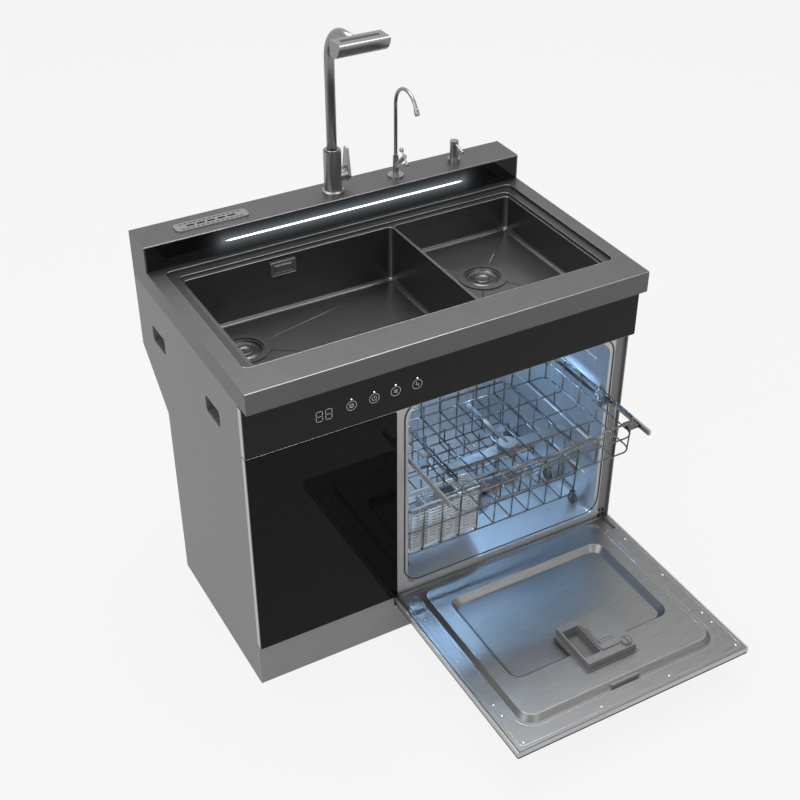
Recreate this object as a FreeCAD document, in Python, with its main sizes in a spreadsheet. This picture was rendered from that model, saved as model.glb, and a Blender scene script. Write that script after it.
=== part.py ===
import FreeCAD, Part
from math import cos, pi, radians, sin
import os
import Sketcher

# Dishwasher sink unit: a worktop with two bowls over a cupboard on the left
# and a front-opening dishwasher on the right.
# Millimetres. X runs to the right, Y to the back and Z up.
# The origin lies on the floor under the centre of the worktop.
# The dishwasher door lies open, the upper rack is pulled out and the lower one is in.

document = FreeCAD.newDocument("dishwasher_sink_unit")
sheet = document.addObject("Spreadsheet::Sheet", "size")

SIZES = {
    # worktop
    "unit_width": 900, "unit_depth": 582, "worktop_height": 773, "apron_height": 47,
    "top_sheet": 3, "ledge_depth": 87, "ledge_height": 57, "edge_round": 2,
    # sink
    "rim_side_gap": 32, "rim_front_gap": 77, "rim_back_gap": 105, "rim_corner": 14, "rim_step": 6,
    "rim_shelf": 20, "lip_step": 4, "lip_side": 6, "lip_back": 13, "bowl_sheet": 2,
    "divider_place": 94, "bowl_corner": 11, "large_depth": 141, "small_depth": 93,
    "large_drain_side": 107, "large_drain_row": 48,
    "small_drain_place": 228, "small_drain_row": -10,
    "drain_radius": 43, "drain_flange": 54, "drain_depth": 26, "drain_play": 0.5,
    "strainer_wall": 2, "strainer_holes": 8, "strainer_hole": 4, "knob_radius": 9,
    "overflow_place": -169, "overflow_width": 60, "overflow_height": 34,
    "overflow_drop": 38, "overflow_plate": 3, "tail_radius": 20, "tail_length": 22,
    "trap_radius": 32, "trap_neck": 24, "trap_length": 120, "waste_radius": 16,
    "waste_behind": 31, "waste_neck": 2, "waste_entry": 30, "waste_bend": 12,
    "waste_sides": 12, "collar_wall": 4, "panel_play": 1.5, "waste_turn": -215,
    "outlet_drop": 42, "outlet_reach": 14,
    # carcass
    "panel_sheet": 3, "carcass_setback": 41, "recess_depth": 121, "bevel_drop": 171,
    "bevel_height": 113, "left_return": 12, "right_return": 24, "return_setback": 6,
    "grip_length": 70, "grip_height": 38, "grip_drop": 98, "grip_front": 134,
    "grip_back": 118, "grip_corner": 8, "foot_height": 10, "foot_radius": 18,
    "foot_inset": 45, "cupboard_floor": 108, "kick_low": 74, "kick_reach": 4.6,
    # doors and control panel
    "door_bottom": 113, "door_drop": 120, "door_gap": 0.5, "door_thickness": 17,
    "door_split": -126, "door_spacing": 2, "glass_thickness": 4, "fascia_lift": 3,
    "fascia_clearance": 4, "cup_radius": 17.5, "cup_depth": 11, "cup_place": 40,
    "cup_level": 75, "catch_height": 60,
    # dishwasher door
    "hinge_inset": 8, "hinge_drop": 8, "liner_inset": 5, "liner_sheet": 3.5,
    "liner_margin": 3, "pan_height": 12, "pan_side": 8, "pan_far": 44, "pan_near": 20,
    "pan_corner": 34, "pan_draft": 8, "dish_side": 42, "dish_far": 150, "dish_near": 60,
    "dish_corner": 26, "dish_depth": 14, "dish_draft": 12,
    "dispenser_place": 108, "dispenser_width": 122, "dispenser_far": 98,
    "dispenser_length": 120, "dispenser_rise": 18, "dispenser_round": 4,
    "cup_well_width": 40, "cup_well_length": 84, "cup_well_depth": 24,
    "lid_thickness": 3, "lid_play": 0.3, "lid_travel": 44, "lid_grip": 3,
    "rinse_radius": 12, "rinse_height": 5, "rinse_pin": 5,
    "arm_thickness": 2.4, "arm_width": 6, "arm_length": 60, "arm_boss": 7,
    "arm_left_gap": 8, "arm_right_gap": 20, "pin_radius": 3, "pin_play": 0.08,
    # tub
    "tub_left_gap": 38, "tub_right_gap": 40, "tub_floor": 112, "tub_drop": 134,
    "tub_back_gap": 23,
    "tub_sheet": 3, "tub_corner": 38, "tub_low_corner": 16, "frame_sheet": 3, "frame_low": 84,
    "gasket_width": 7, "gasket_inset": 5, "gasket_gap": 0.3, "arm_slot": 11,
    "sump_radius": 78, "sump_place": 196, "sump_depth": 46, "filter_radius": 34,
    "filter_rise": 2, "pump_radius": 28, "pump_length": 110, "blade_length": 168,
    "blade_root": 17, "blade_tip": 11, "blade_height": 9, "hub_radius": 22,
    "feed_radius": 9, "feed_play": 0.3, "blade_floor_gap": 4, "top_sprayer": 26,
    "lamp_width": 70, "lamp_depth": 18, "lamp_height": 3, "lamp_spacing": 180,
    # racks
    "wire_size": 3.6, "wire_lap": 0.8, "rim_wire": 5, "rack_front_gap": 36, "rack_back_gap": 27,
    "rack_gap": 17, "lower_floor": 150, "lower_rim": 275, "lower_columns": 9,
    "lower_rows": 4, "rack_slope": 6, "tine_height": 62, "tine_rows": 2,
    "wheel_radius": 14, "wheel_width": 9, "wheel_play": 0.3,
    "axle_radius": 2.5, "wheel_front": 15, "wheel_spacing": 103, "wheel_tail": 30,
    "bracket_width": 12, "bracket_sheet": 2,
    "upper_drop": 184, "upper_height": 82, "upper_gap": 36, "upper_travel": 190,
    "upper_columns": 8, "upper_rows": 4, "rail_height": 26, "rail_thickness": 12,
    "rail_sheet": 2, "rail_play": 0.5, "rail_rise": 44, "rail_front": 17,
    "rail_back": 21, "glide_length": 24, "glide_front": 20, "glide_spacing": 100,
    "upper_blade": 150, "mount_height": 12,
    # cutlery basket
    "basket_length": 176, "basket_width": 56, "basket_height": 118, "basket_wall": 2.5,
    "basket_rim": 5, "basket_bars": 7, "basket_bands": 2, "basket_cells": 4, "basket_place": 20,
    "basket_play": 0.3,
    # ledge fittings
    "fitting_gap": 45, "ledge_glass": 4, "knife_place": -285, "knife_length": 163,
    "knife_width": 34, "knife_plate": 3, "knife_corner": 10, "knife_slots": 5,
    "slot_length": 17, "slot_width": 6, "knife_drop": 60, "knife_wall": 2,
    "light_place": 14, "light_length": 578, "light_width": 8, "light_rise": 28,
    "light_raise": 1.5,
    "faucet_place": 0, "faucet_flange": 24, "faucet_radius": 19.5, "faucet_height": 97,
    "spout_radius": 11,
    "spout_rise": 300, "spout_bend": 70, "spout_reach": 118, "head_length": 113,
    "head_width": 44, "head_height": 34, "head_slot": 7, "boss_radius": 15,
    "spout_ring": 3, "spout_sides": 20, "bend_steps": 6, "boss_level": 36,
    "boss_reach": 24, "cartridge_length": 6, "lever_root": 17,
    "lever_tip": 7, "lever_length": 55, "lever_thickness": 6, "swivel_gap": 0.3,
    "spindle_radius": 6, "socket_play": 0.08, "socket_depth": 14,
    "tap_place": 155, "tap_flange": 18, "tap_base": 10, "tap_neck": 6.5, "tap_height": 48,
    "tap_pipe": 4, "tap_sides": 12, "tap_rise": 170, "tap_bend": 46, "nozzle_radius": 5.5,
    "nozzle_length": 14, "valve_level": 22, "valve_radius": 5, "valve_reach": 26,
    "cross_reach": 58, "cross_arm": 15, "cross_ball": 4,
    "soap_place": 305, "soap_flange": 14, "soap_flange_height": 9, "soap_cap": 9.8,
    "soap_play": 0.5, "soap_travel": 12, "soap_skirt": 3, "soap_top": 51,
    "soap_nozzle": 2.8, "soap_reach": 40, "soap_nozzle_drop": 10, "bottle_radius": 28,
    "bottle_height": 110, "plunger_radius": 4,
}

CUT_OVER = 1        # how far a cutting body stands out of the sheet it cuts
NEAR = 0.01         # edges closer than this to a level lie on it


class Dim:
    """A length that keeps both its number and its formula over the sheet."""

    def __init__(self, number, formula):
        self.number = number
        self.formula = formula

    def __add__(self, other):
        return join(self, "+", other)

    def __radd__(self, other):
        return join(other, "+", self)

    def __sub__(self, other):
        return join(self, "-", other)

    def __rsub__(self, other):
        return join(other, "-", self)

    def __mul__(self, other):
        return join(self, "*", other)

    def __rmul__(self, other):
        return join(other, "*", self)

    def __truediv__(self, other):
        return join(self, "/", other)

    def __neg__(self):
        return Dim(-self.number, "(0 - " + self.formula + ")")

    def __float__(self):
        return float(self.number)


def dim(value):
    return value if isinstance(value, Dim) else Dim(float(value), repr(float(value)))


def join(left, sign, right):
    a, b = dim(left), dim(right)
    number = {"+": a.number + b.number, "-": a.number - b.number,
              "*": a.number * b.number, "/": a.number / b.number if b.number else 0.0}[sign]
    return Dim(number, "(" + a.formula + " " + sign + " " + b.formula + ")")


class Sheet:
    """Gives each cell of the sheet by its alias."""

    def __getattr__(self, alias):
        return Dim(float(sheet.get(alias)), "size." + alias)


for row, (alias, number) in enumerate(SIZES.items(), start=1):
    sheet.set("A" + str(row), alias)
    sheet.set("B" + str(row), str(number))
    sheet.setAlias("B" + str(row), alias)
document.recompute()
s = Sheet()
nodes = {}


# Tools that make one bound object each

def bind(thing, prop, value):
    thing.setExpression(prop, dim(value).formula)


def place(thing, x, y, z, direction=(0, 0, 1)):
    turn = FreeCAD.Rotation(FreeCAD.Vector(0, 0, 1), FreeCAD.Vector(*direction))
    thing.Placement = FreeCAD.Placement(FreeCAD.Vector(0, 0, 0), turn)
    bind(thing, "Placement.Base.x", x)
    bind(thing, "Placement.Base.y", y)
    bind(thing, "Placement.Base.z", z)
    return thing


def box(name, x, y, z):
    thing = document.addObject("Part::Box", name)
    bind(thing, "Length", x[1] - dim(x[0]))
    bind(thing, "Width", y[1] - dim(y[0]))
    bind(thing, "Height", z[1] - dim(z[0]))
    return place(thing, x[0], y[0], z[0])


def cylinder(name, radius, height, x, y, z, direction=(0, 0, 1)):
    thing = document.addObject("Part::Cylinder", name)
    bind(thing, "Radius", radius)
    bind(thing, "Height", height)
    return place(thing, x, y, z, direction)


def fuse(name, parts):
    thing = document.addObject("Part::MultiFuse", name)
    thing.Shapes = parts
    return thing


def cut(name, base, tools):
    thing = document.addObject("Part::Cut", name)
    thing.Base = base
    thing.Tool = tools[0] if len(tools) == 1 else fuse(name + "_tools", tools)
    return thing


def common(name, first, second):
    thing = document.addObject("Part::Common", name)
    thing.Base, thing.Tool = first, second
    return thing


def panels(name, shape, x, y, z, hollow=()):
    """A folded piece as its flat sheets and rounded strips, one in each cell of a grid."""
    parts = []
    for i, wide in enumerate(zip(x, x[1:])):
        for j, deep in enumerate(zip(y, y[1:])):
            for k, high in enumerate(zip(z, z[1:])):
                if (i, j, k) not in hollow:
                    parts.append(common(name + "_sheet", shape, box(name + "_cell", wide, deep, high)))
    return group(name, parts)


def group(name, parts):
    thing = document.addObject("Part::Compound", name)
    thing.Links = parts
    return thing


def feature(name, shape):
    thing = document.addObject("Part::Feature", name)
    thing.Shape = shape
    return thing


def node(name, thing):
    thing.Label = name
    nodes[name] = thing
    return thing


def fillet(name, base, radius, chosen):
    document.recompute()
    thing = document.addObject("Part::Fillet", name)
    thing.Base = base
    size = float(radius)
    thing.Edges = [(i, size, size) for i, edge in enumerate(base.Shape.Edges, 1) if chosen(edge)]
    return thing


def runs(edge, axis):
    """True for a straight edge along the axis."""
    start, end = edge.Vertexes[0].Point, edge.Vertexes[-1].Point
    span = end - start
    return abs(abs(getattr(span, axis)) - span.Length) < 0.001 * span.Length


def tunnel(name, x, y, z, high, low):
    """A block along Y with one radius at its upper edges and another at its lower ones."""
    base = box(name + "_block", x, y, z)
    document.recompute()
    middle = float(z[0] + z[1]) / 2
    thing = document.addObject("Part::Fillet", name)
    thing.Base = base
    edges = [(i, edge) for i, edge in enumerate(base.Shape.Edges, 1) if runs(edge, "y")]
    sizes = [(i, float(high if edge.CenterOfMass.z > middle else low)) for i, edge in edges]
    thing.Edges = [(i, size, size) for i, size in sizes]
    return thing


def soft_box(name, x, y, z, radius, axes="z"):
    """A box whose edges along the named axes are rounded."""
    base = box(name + "_block", x, y, z)
    return fillet(name, base, radius, lambda edge: any(runs(edge, axis) for axis in axes))


def basin(name, x, y, z, radius):
    """A block rounded at its upright and bottom edges."""
    base = box(name + "_block", x, y, z)
    top = float(z[1])
    return fillet(name, base, radius, lambda edge: edge.BoundBox.ZMin < top - NEAR)


# Tools for sketched bodies

def origin_plane(body, role):
    return next(item for item in body.Origin.OriginFeatures if item.Role == role)


def outline(body, name, role, points, offset=0):
    """A closed outline of straight lines, each corner tied to the sheet."""
    sketch = body.newObject("Sketcher::SketchObject", name)
    sketch.AttachmentSupport = (origin_plane(body, role), [""])
    sketch.MapMode = "FlatFace"
    bind(sketch, "AttachmentOffset.Base.z", offset)
    corners = [FreeCAD.Vector(float(a), float(b), 0) for a, b in points]
    count = len(corners)
    for i in range(count):
        sketch.addGeometry(Part.LineSegment(corners[i], corners[(i + 1) % count]))
    for i in range(count):
        sketch.addConstraint(Sketcher.Constraint("Coincident", i, 2, (i + 1) % count, 1))
    for i, (a, b) in enumerate(points):
        for kind, value in (("DistanceX", a), ("DistanceY", b)):
            index = sketch.addConstraint(Sketcher.Constraint(kind, i, 1, float(value)))
            sketch.setExpression("Constraints[" + str(index) + "]", dim(value).formula)
    return sketch


def pad(body, name, sketch, length, backwards=False):
    thing = body.newObject("PartDesign::Pad", name)
    thing.Profile = sketch
    bind(thing, "Length", length)
    thing.Reversed = backwards
    body.Tip = thing
    return thing


def turned(name, profile, x, y, z, direction=(0, 0, 1)):
    """A turned body: the profile gives radius and height up the axis."""
    body = document.addObject("PartDesign::Body", name)
    sketch = outline(body, name + "_profile", "XZ_Plane", profile)
    thing = body.newObject("PartDesign::Revolution", name + "_turn")
    thing.Profile = sketch
    thing.ReferenceAxis = (sketch, ["V_Axis"])
    thing.Angle = 360
    body.Tip = thing
    return place(body, x, y, z, direction)


def along_x(value):
    return FreeCAD.Vector(float(value), 0, 0)


def vector(x, y, z):
    return FreeCAD.Vector(float(x), float(y), float(z))


def tube_shape(points, radius, sides):
    """A pipe with flat sides along a line of points, mitred at each bend."""
    steps = [(b - a).normalize() for a, b in zip(points[:-1], points[1:])]
    turn = FreeCAD.Rotation(FreeCAD.Vector(0, 0, 1), steps[0])
    angles = [2 * pi * k / sides for k in range(sides)]
    spoke = float(radius)
    ring = [points[0] + turn.multVec(vector(spoke * cos(a), spoke * sin(a), 0)) for a in angles]
    wires = [Part.makePolygon(ring + ring[:1])]
    for i, step in enumerate(steps):
        normal = step + steps[min(i + 1, len(steps) - 1)]
        end = points[i + 1]
        ring = [p + step * ((end - p).dot(normal) / step.dot(normal)) for p in ring]
        wires.append(Part.makePolygon(ring + ring[:1]))
    return Part.makeLoft(wires, True, True)


def bevelled(points, corner):
    """The same line with each inner corner cut back by so much."""
    made = [points[0]]
    for before, point, after in zip(points, points[1:], points[2:]):
        made.append(point + (before - point).normalize() * corner)
        made.append(point + (after - point).normalize() * corner)
    return made + [points[-1]]


def bend_points(x, row, level, bend, angle, count):
    """Points round a bend in an upright plane that starts upwards and turns to the front."""
    centre = float(row - bend)
    turns = [radians(angle) * k / count for k in range(count + 1)]
    reach, base = float(bend), float(level)
    return [vector(x, centre + reach * cos(a), base + reach * sin(a)) for a in turns]


def rod_shape(start, end, radius):
    """A round bar between two points."""
    return Part.makeCylinder(float(radius), (end - start).Length, start, end - start)


def bar_shape(start, end, width):
    """A bar of square section between two points."""
    span, half_width = end - start, float(width) / 2
    long_way = max((abs(span.x), 0), (abs(span.y), 1), (abs(span.z), 2))[1]
    corners = []
    for a, b in ((-1, -1), (1, -1), (1, 1), (-1, 1), (-1, -1)):
        offsets = [a * half_width, b * half_width]
        offsets.insert(long_way, 0)
        corners.append(start + FreeCAD.Vector(*offsets))
    return Part.Face(Part.makePolygon(corners)).extrude(span)


def ring_shape(x, y, low, high, inside, outside):
    """A level rectangular ring around an outline, so far in and so far out of it."""
    (x0, x1), (y0, y1) = x, y
    outer_ = Part.makeBox(x1 - x0 + 2 * outside, y1 - y0 + 2 * outside, high - low,
                          vector(x0 - outside, y0 - outside, low))
    hollow = Part.makeBox(x1 - x0 - 2 * inside, y1 - y0 - 2 * inside, high - low,
                          vector(x0 + inside, y0 + inside, low))
    return outer_.cut(hollow)


def one_shape(shapes):
    """Joined pieces without leftover seams."""
    return shapes[0].multiFuse(shapes[1:]).removeSplitter()


def loft_block(low, high, low_corner, high_corner, bottom, top_level):
    """A tapered block with rounded upright corners between two rectangles."""
    wires = []
    for (x, y), corner, level in ((low, low_corner, bottom), (high, high_corner, top_level)):
        width, depth = float(x[1] - x[0]), float(y[1] - y[0])
        face = Part.makePlane(width, depth, vector(x[0], y[0], level))
        solid = face.extrude(FreeCAD.Vector(0, 0, 1))
        upright = [edge for edge in solid.Edges if runs(edge, "z")]
        solid = solid.makeFillet(float(corner), upright)
        wires.append(next(f for f in solid.Faces if f.CenterOfMass.z < float(level) + 0.01
                          and abs(f.normalAt(0, 0).z) > 0.9).OuterWire)
    return Part.makeLoft(wires, True, True)


# Places that several pieces share

half = s.unit_width / 2
front = -s.unit_depth / 2
back = s.unit_depth / 2
top = s.worktop_height
apron = top - s.apron_height
ledge_front = back - s.ledge_depth
ledge_top = top + s.ledge_height
fitting_row = back - s.fitting_gap
light_level = top + s.light_rise
rim_side = half - s.rim_side_gap
rim_front = back - s.rim_front_gap
rim_back = back - s.rim_back_gap
shelf_level = top - s.rim_step
lip_level = shelf_level - s.lip_step
bowl_top = lip_level - s.bowl_sheet
bowl_rear = rim_back - s.rim_shelf - s.lip_back
large_floor = top - s.large_depth
small_floor = top - s.small_depth
large_drain_place = s.large_drain_side - rim_side
overflow_level = top - s.overflow_drop
trap_top = large_floor - s.drain_depth - s.tail_length - s.trap_neck
trap_bottom = trap_top - s.trap_length
waste_row = bowl_rear + s.waste_behind
waste_drop = trap_top - s.waste_entry
inner = half - s.panel_sheet
carcass_front = front + s.carcass_setback
carcass_back = back - s.recess_depth
bevel_top = apron - s.bevel_drop
bevel_bottom = bevel_top - s.bevel_height
outlet_level = bevel_bottom - s.outlet_drop
grip_level = apron - s.grip_drop
door_top = apron - s.door_drop
fascia_bottom = door_top + s.fascia_lift
door_back = carcass_front - s.door_gap
door_front = door_back - s.door_thickness
hinge_row = carcass_front + s.hinge_inset
hinge_level = s.door_bottom - s.hinge_drop
arm_left = s.door_split + s.arm_left_gap
arm_right = half - s.arm_right_gap
frame_front = carcass_front + s.return_setback
frame_back = frame_front + s.frame_sheet
tub_left = s.door_split + s.tub_left_gap
tub_right = half - s.tub_right_gap
tub_middle = (tub_left + tub_right) / 2
tub_top = apron - s.tub_drop
tub_back = carcass_back - s.tub_back_gap
sump_row = frame_back + s.sump_place
rack_front = frame_back + s.rack_front_gap
rack_back = tub_back - s.rack_back_gap
upper_floor = tub_top - s.upper_drop
upper_rim = upper_floor + s.upper_height
rail_level = upper_floor + s.rail_rise
rail_row = frame_back + s.rail_front
rail_length = tub_back - s.rail_back - rail_row


# Worktop and sink

def make_worktop():
    slab = box("worktop_slab", (-half, half), (front, back), (apron, top))
    raised = box("worktop_raised", (-half, half), (ledge_front, back), (top, ledge_top))
    outer = fuse("worktop_outer", [slab, raised])
    low, high = float(front) + 0.01, float(ledge_front)

    def folded(edge):
        box_ = edge.BoundBox
        at_front = box_.YMax < low and box_.ZMin > float(top) - 0.01
        at_ledge = abs(box_.YMin - high) < 0.01 and box_.ZMin > float(ledge_top) - 0.01
        return runs(edge, "x") and (at_front or at_ledge)

    rounded = fillet("worktop_rounded", outer, s.edge_round, folded)
    within = (-half + s.top_sheet, half - s.top_sheet)
    under = box("worktop_under", within, (front + s.top_sheet, back - s.top_sheet),
                (apron, top - s.top_sheet))
    hollow = box("worktop_hollow", within,
                 (ledge_front + s.ledge_glass + s.top_sheet, back - s.top_sheet),
                 (top - s.top_sheet, ledge_top - s.top_sheet))
    window = box("worktop_window", within, (ledge_front, ledge_front + s.ledge_glass),
                 (top, ledge_top - s.top_sheet))
    mouth = soft_box("worktop_mouth", (-rim_side, rim_side), (-rim_front, rim_back),
                     (apron, top + s.top_sheet), s.rim_corner)
    holes = [under, hollow, window, mouth]
    for place_x, radius in ((0, s.faucet_radius - s.top_sheet), (s.tap_place, s.tap_neck),
                            (s.soap_place, s.soap_cap + s.soap_play + s.bowl_sheet + s.drain_play)):
        holes.append(cylinder("worktop_hole", radius, s.ledge_height, place_x,
                              fitting_row, top))
    half_length = s.knife_length / 2 - s.knife_corner
    half_width = s.knife_width / 2 - s.knife_plate
    holes.append(box("worktop_knife_hole",
                     (s.knife_place - half_length, s.knife_place + half_length),
                     (fitting_row - half_width, fitting_row + half_width),
                     (top, ledge_top)))
    node("worktop", cut("worktop_cut", rounded, holes))
    node("ledge_glass", box("ledge_glass_plate", within,
                            (ledge_front, ledge_front + s.ledge_glass),
                            (top, ledge_top - s.top_sheet)))


def make_sink():
    side, wall = rim_side, s.bowl_sheet
    y = (-rim_front, rim_back)
    block = soft_box("rim_block_round", (-side - wall, side + wall), (y[0] - wall, y[1] + wall),
                     (bowl_top, top - s.top_sheet), s.rim_corner + wall)
    shelf = soft_box("rim_shelf_cut", (-side, side), y, (shelf_level, top), s.rim_corner)
    lip = soft_box("rim_lip_cut", (-side + s.rim_shelf, side - s.rim_shelf),
                   (y[0], y[1] - s.rim_shelf), (lip_level, top), s.rim_corner)
    left = -side + s.rim_shelf + s.lip_side
    right = -left
    spans = {"large": (left, s.divider_place - wall), "small": (s.divider_place + wall, right)}
    floors = {"large": large_floor, "small": small_floor}
    drains = {"large": (large_drain_place, s.large_drain_row),
              "small": (s.small_drain_place, s.small_drain_row)}
    mouths = []
    for which, span in spans.items():
        mouths.append(soft_box("rim_mouth_" + which, span, (y[0], bowl_rear),
                               (bowl_top - wall, top), s.bowl_corner))
    node("sink_rim", cut("sink_rim_cut", block, [shelf, lip] + mouths))
    fittings = []
    for which, span in spans.items():
        floor, (x, row) = floors[which], drains[which]
        inside = basin(which + "_inside", span, (y[0], bowl_rear), (floor, bowl_top),
                       s.bowl_corner)
        outside = soft_box(which + "_outside", (span[0] - wall, span[1] + wall),
                           (y[0] - wall, bowl_rear + wall), (floor - wall, bowl_top),
                           s.bowl_corner + wall)
        hole = cylinder(which + "_hole", s.drain_radius, wall * 2, x, row, floor - wall)
        shell = cut(which + "_bowl_cut", outside, [inside, hole])
        bend = s.bowl_corner
        node(which + "_bowl", panels(
            which + "_bowl_sheets", shell,
            (span[0] - wall, span[0] + bend, span[1] - bend, span[1] + wall),
            (y[0] - wall, y[0] + bend, bowl_rear - bend, bowl_rear + wall),
            (floor - wall, floor + bend, bowl_top), [(1, 1, 1)]))
        fittings.append(make_drain(which, x, row, floor))
    node("drain_fittings", group("drains", fittings))


def make_drain(which, x, row, floor):
    wall, depth = s.bowl_sheet, s.drain_depth
    bore = s.drain_radius - wall
    tail = s.tail_radius
    low = -depth - s.tail_length
    fitting = turned(which + "_drain_body", [
        (tail - wall, low), (tail, low), (tail, -depth), (s.drain_radius, -depth),
        (s.drain_radius, 0), (s.drain_flange, 0), (s.drain_flange, wall), (bore, wall),
        (bore, wall - depth), (tail - wall, wall - depth)], x, row, floor)
    foot = wall - depth + s.drain_play
    rim = bore - s.drain_play
    deck = foot + s.strainer_wall
    cup = turned(which + "_strainer_cup", [
        (0, foot), (rim, foot), (rim, 0), (rim - s.strainer_wall, 0),
        (rim - s.strainer_wall, deck), (s.knob_radius, deck),
        (s.knob_radius, -s.knob_radius), (0, -s.knob_radius)], x, row, floor)
    reach = (rim + s.knob_radius) / 2
    holes = []
    for i in range(int(s.strainer_holes.number)):
        turn = FreeCAD.Rotation(FreeCAD.Vector(0, 0, 1), 360 * i / s.strainer_holes.number)
        off = turn.multVec(along_x(reach))
        middle = (x + off.x, row + off.y)
        holes.append(box(which + "_strainer_hole",
                         (middle[0] - s.strainer_hole, middle[0] + s.strainer_hole),
                         (middle[1] - s.strainer_hole, middle[1] + s.strainer_hole),
                         (floor - depth, floor - s.drain_radius / 3)))
    node(which + "_strainer", cut(which + "_strainer_cut", cup, holes))
    return fitting


def make_overflow():
    half_width, half_height = s.overflow_width / 2, s.overflow_height / 2
    node("overflow_cover", soft_box(
        "overflow", (s.overflow_place - half_width, s.overflow_place + half_width),
        (bowl_rear - s.overflow_plate, bowl_rear),
        (overflow_level - half_height, overflow_level + half_height),
        s.overflow_plate, "y"))


def make_waste():
    """Bottle trap under the large bowl, the small bowl's branch and the wall outlet."""
    x, y = large_drain_place, s.large_drain_row
    radius, corner = s.waste_radius, float(s.waste_bend)
    sides = int(s.waste_sides.number)
    trap = rod_shape(vector(x, y, trap_bottom), vector(x, y, trap_top), s.trap_radius)
    neck = rod_shape(vector(x, y, trap_top), vector(x, y, trap_top + s.trap_neck),
                     s.tail_radius)
    outlet_top = small_floor - s.drain_depth - s.tail_length
    level = outlet_top - radius - s.waste_neck
    branch = bevelled([
        vector(s.small_drain_place, s.small_drain_row, outlet_top),
        vector(s.small_drain_place, s.small_drain_row, level),
        vector(s.small_drain_place, waste_row, level),
        vector(s.waste_turn, waste_row, level),
        vector(s.waste_turn, waste_row, waste_drop),
        vector(s.waste_turn, y, waste_drop),
        vector(x, y, waste_drop)], corner)
    elbow = (y + carcass_back) / 2 + radius
    middle = (trap_bottom + trap_top) / 2
    end = vector(x, carcass_back + s.panel_sheet, outlet_level)
    outlet = bevelled([
        vector(x, y, middle), vector(x, elbow, middle), vector(x, elbow, outlet_level), end],
        corner)
    collar = rod_shape(vector(x, carcass_back - s.collar_wall * 2, outlet_level), end,
                       radius + s.collar_wall)
    spigot = rod_shape(end, end + FreeCAD.Vector(0, float(s.outlet_reach), 0), radius)
    node("waste_pipes", feature("waste_shape", one_shape([
        trap, neck, tube_shape(branch, radius, sides), tube_shape(outlet, radius, sides),
        collar, spigot])))


# Carcass

def make_side(name, x, sign, flange):
    """A side panel with its recess at the back, two hand holes and a front return."""
    body = document.addObject("PartDesign::Body", name + "_body")
    web = outline(body, name + "_web", "YZ_Plane", [
        (carcass_front, 0), (carcass_back, 0), (carcass_back, bevel_bottom),
        (back, bevel_top), (back, apron), (carcass_front, apron)], x)
    pad(body, name + "_pad", web, s.panel_sheet)
    document.recompute()
    holes = []
    for middle in (carcass_front + s.grip_front, back - s.grip_back):
        span = (middle - s.grip_length / 2, middle + s.grip_length / 2)
        rise = (grip_level - s.grip_height / 2, grip_level + s.grip_height / 2)
        holes.append(soft_box(name + "_grip", (x - s.panel_sheet, x + s.panel_sheet * 2), span,
                              rise, s.grip_corner, "x"))
    face = x + s.panel_sheet if sign > 0 else x
    reach = (face, face + flange) if sign > 0 else (face - flange, face)
    lip = box(name + "_return", reach, (frame_front, frame_back), (0, apron))
    whole = fuse(name + "_whole", [body, lip])
    if sign < 0:
        holes.append(box(name + "_slot",
                         (arm_right - s.arm_slot, arm_right + s.arm_slot),
                         (frame_front - CUT_OVER, frame_back + CUT_OVER),
                         (hinge_level - s.arm_slot, hinge_level + s.arm_slot)))
    node(name, cut(name + "_cut", whole, holes))


def make_carcass():
    make_side("side_panel_left", -half, 1, s.left_return)
    make_side("side_panel_right", inner, -1, s.right_return)
    low = s.foot_height + s.panel_sheet
    rear = carcass_back - s.panel_sheet
    plate = box("base", (-inner, inner), (frame_back, rear), (s.foot_height, low))
    feet = [cylinder("middle_foot", s.foot_radius, s.foot_height, 0, 0, 0)]
    for x in (-half + s.foot_inset, half - s.foot_inset):
        for y in (carcass_front + s.foot_inset, carcass_back - s.foot_inset):
            feet.append(cylinder("foot", s.foot_radius, s.foot_height, x, y, 0))
    node("base_plate", fuse("base_on_feet", [plate] + feet))
    wall = box("partition",
               (s.door_split - s.panel_sheet / 2, s.door_split + s.panel_sheet / 2),
               (carcass_front, rear), (low, door_top))
    shelf = box("shelf", (-inner, s.door_split - s.panel_sheet / 2), (frame_back, rear),
                (s.cupboard_floor, s.cupboard_floor + s.panel_sheet))
    node("cupboard_liner", fuse("cupboard_sheets", [wall, shelf]))
    sheet_ = s.panel_sheet
    body = document.addObject("PartDesign::Body", "back_panel_body")
    shell = outline(body, "back_outline", "YZ_Plane", [
        (rear, low), (carcass_back, low), (carcass_back, bevel_bottom),
        (back, bevel_top), (back, apron), (back - sheet_, apron),
        (back - sheet_, bevel_top + sheet_ / 2), (rear, bevel_bottom + sheet_ / 2)], -inner)
    pad(body, "back_pad", shell, inner * 2)
    document.recompute()
    hole = cylinder("back_hole", s.waste_radius + s.collar_wall + s.panel_play, sheet_ * 4,
                    large_drain_place, rear - sheet_, outlet_level, (0, 1, 0))
    node("back_panel", cut("back_cut", body, [hole]))
    make_kick()


def make_kick():
    body = document.addObject("PartDesign::Body", "kick_body")
    step = s.door_split - s.door_spacing
    plate = outline(body, "kick_outline", "XZ_Plane", [
        (-half, 0), (half, 0), (half, s.kick_low), (step, s.kick_low),
        (step, s.cupboard_floor), (-half, s.cupboard_floor)], -carcass_front)
    pad(body, "kick_pad", plate, s.kick_reach)
    node("kick_plate", body)


# Control panel and cupboard door

def make_fascia():
    high = apron - s.fascia_clearance
    skin = carcass_front - s.door_gap - s.door_thickness + s.glass_thickness
    rise = (fascia_bottom, high)
    node("fascia_glass", soft_box("fascia_pane", (-half, half),
                                  (skin - s.glass_thickness, skin), rise,
                                  s.edge_round, "y"))
    node("fascia_frame", box("fascia_block", (-half, half), (skin, carcass_front), rise))


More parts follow.
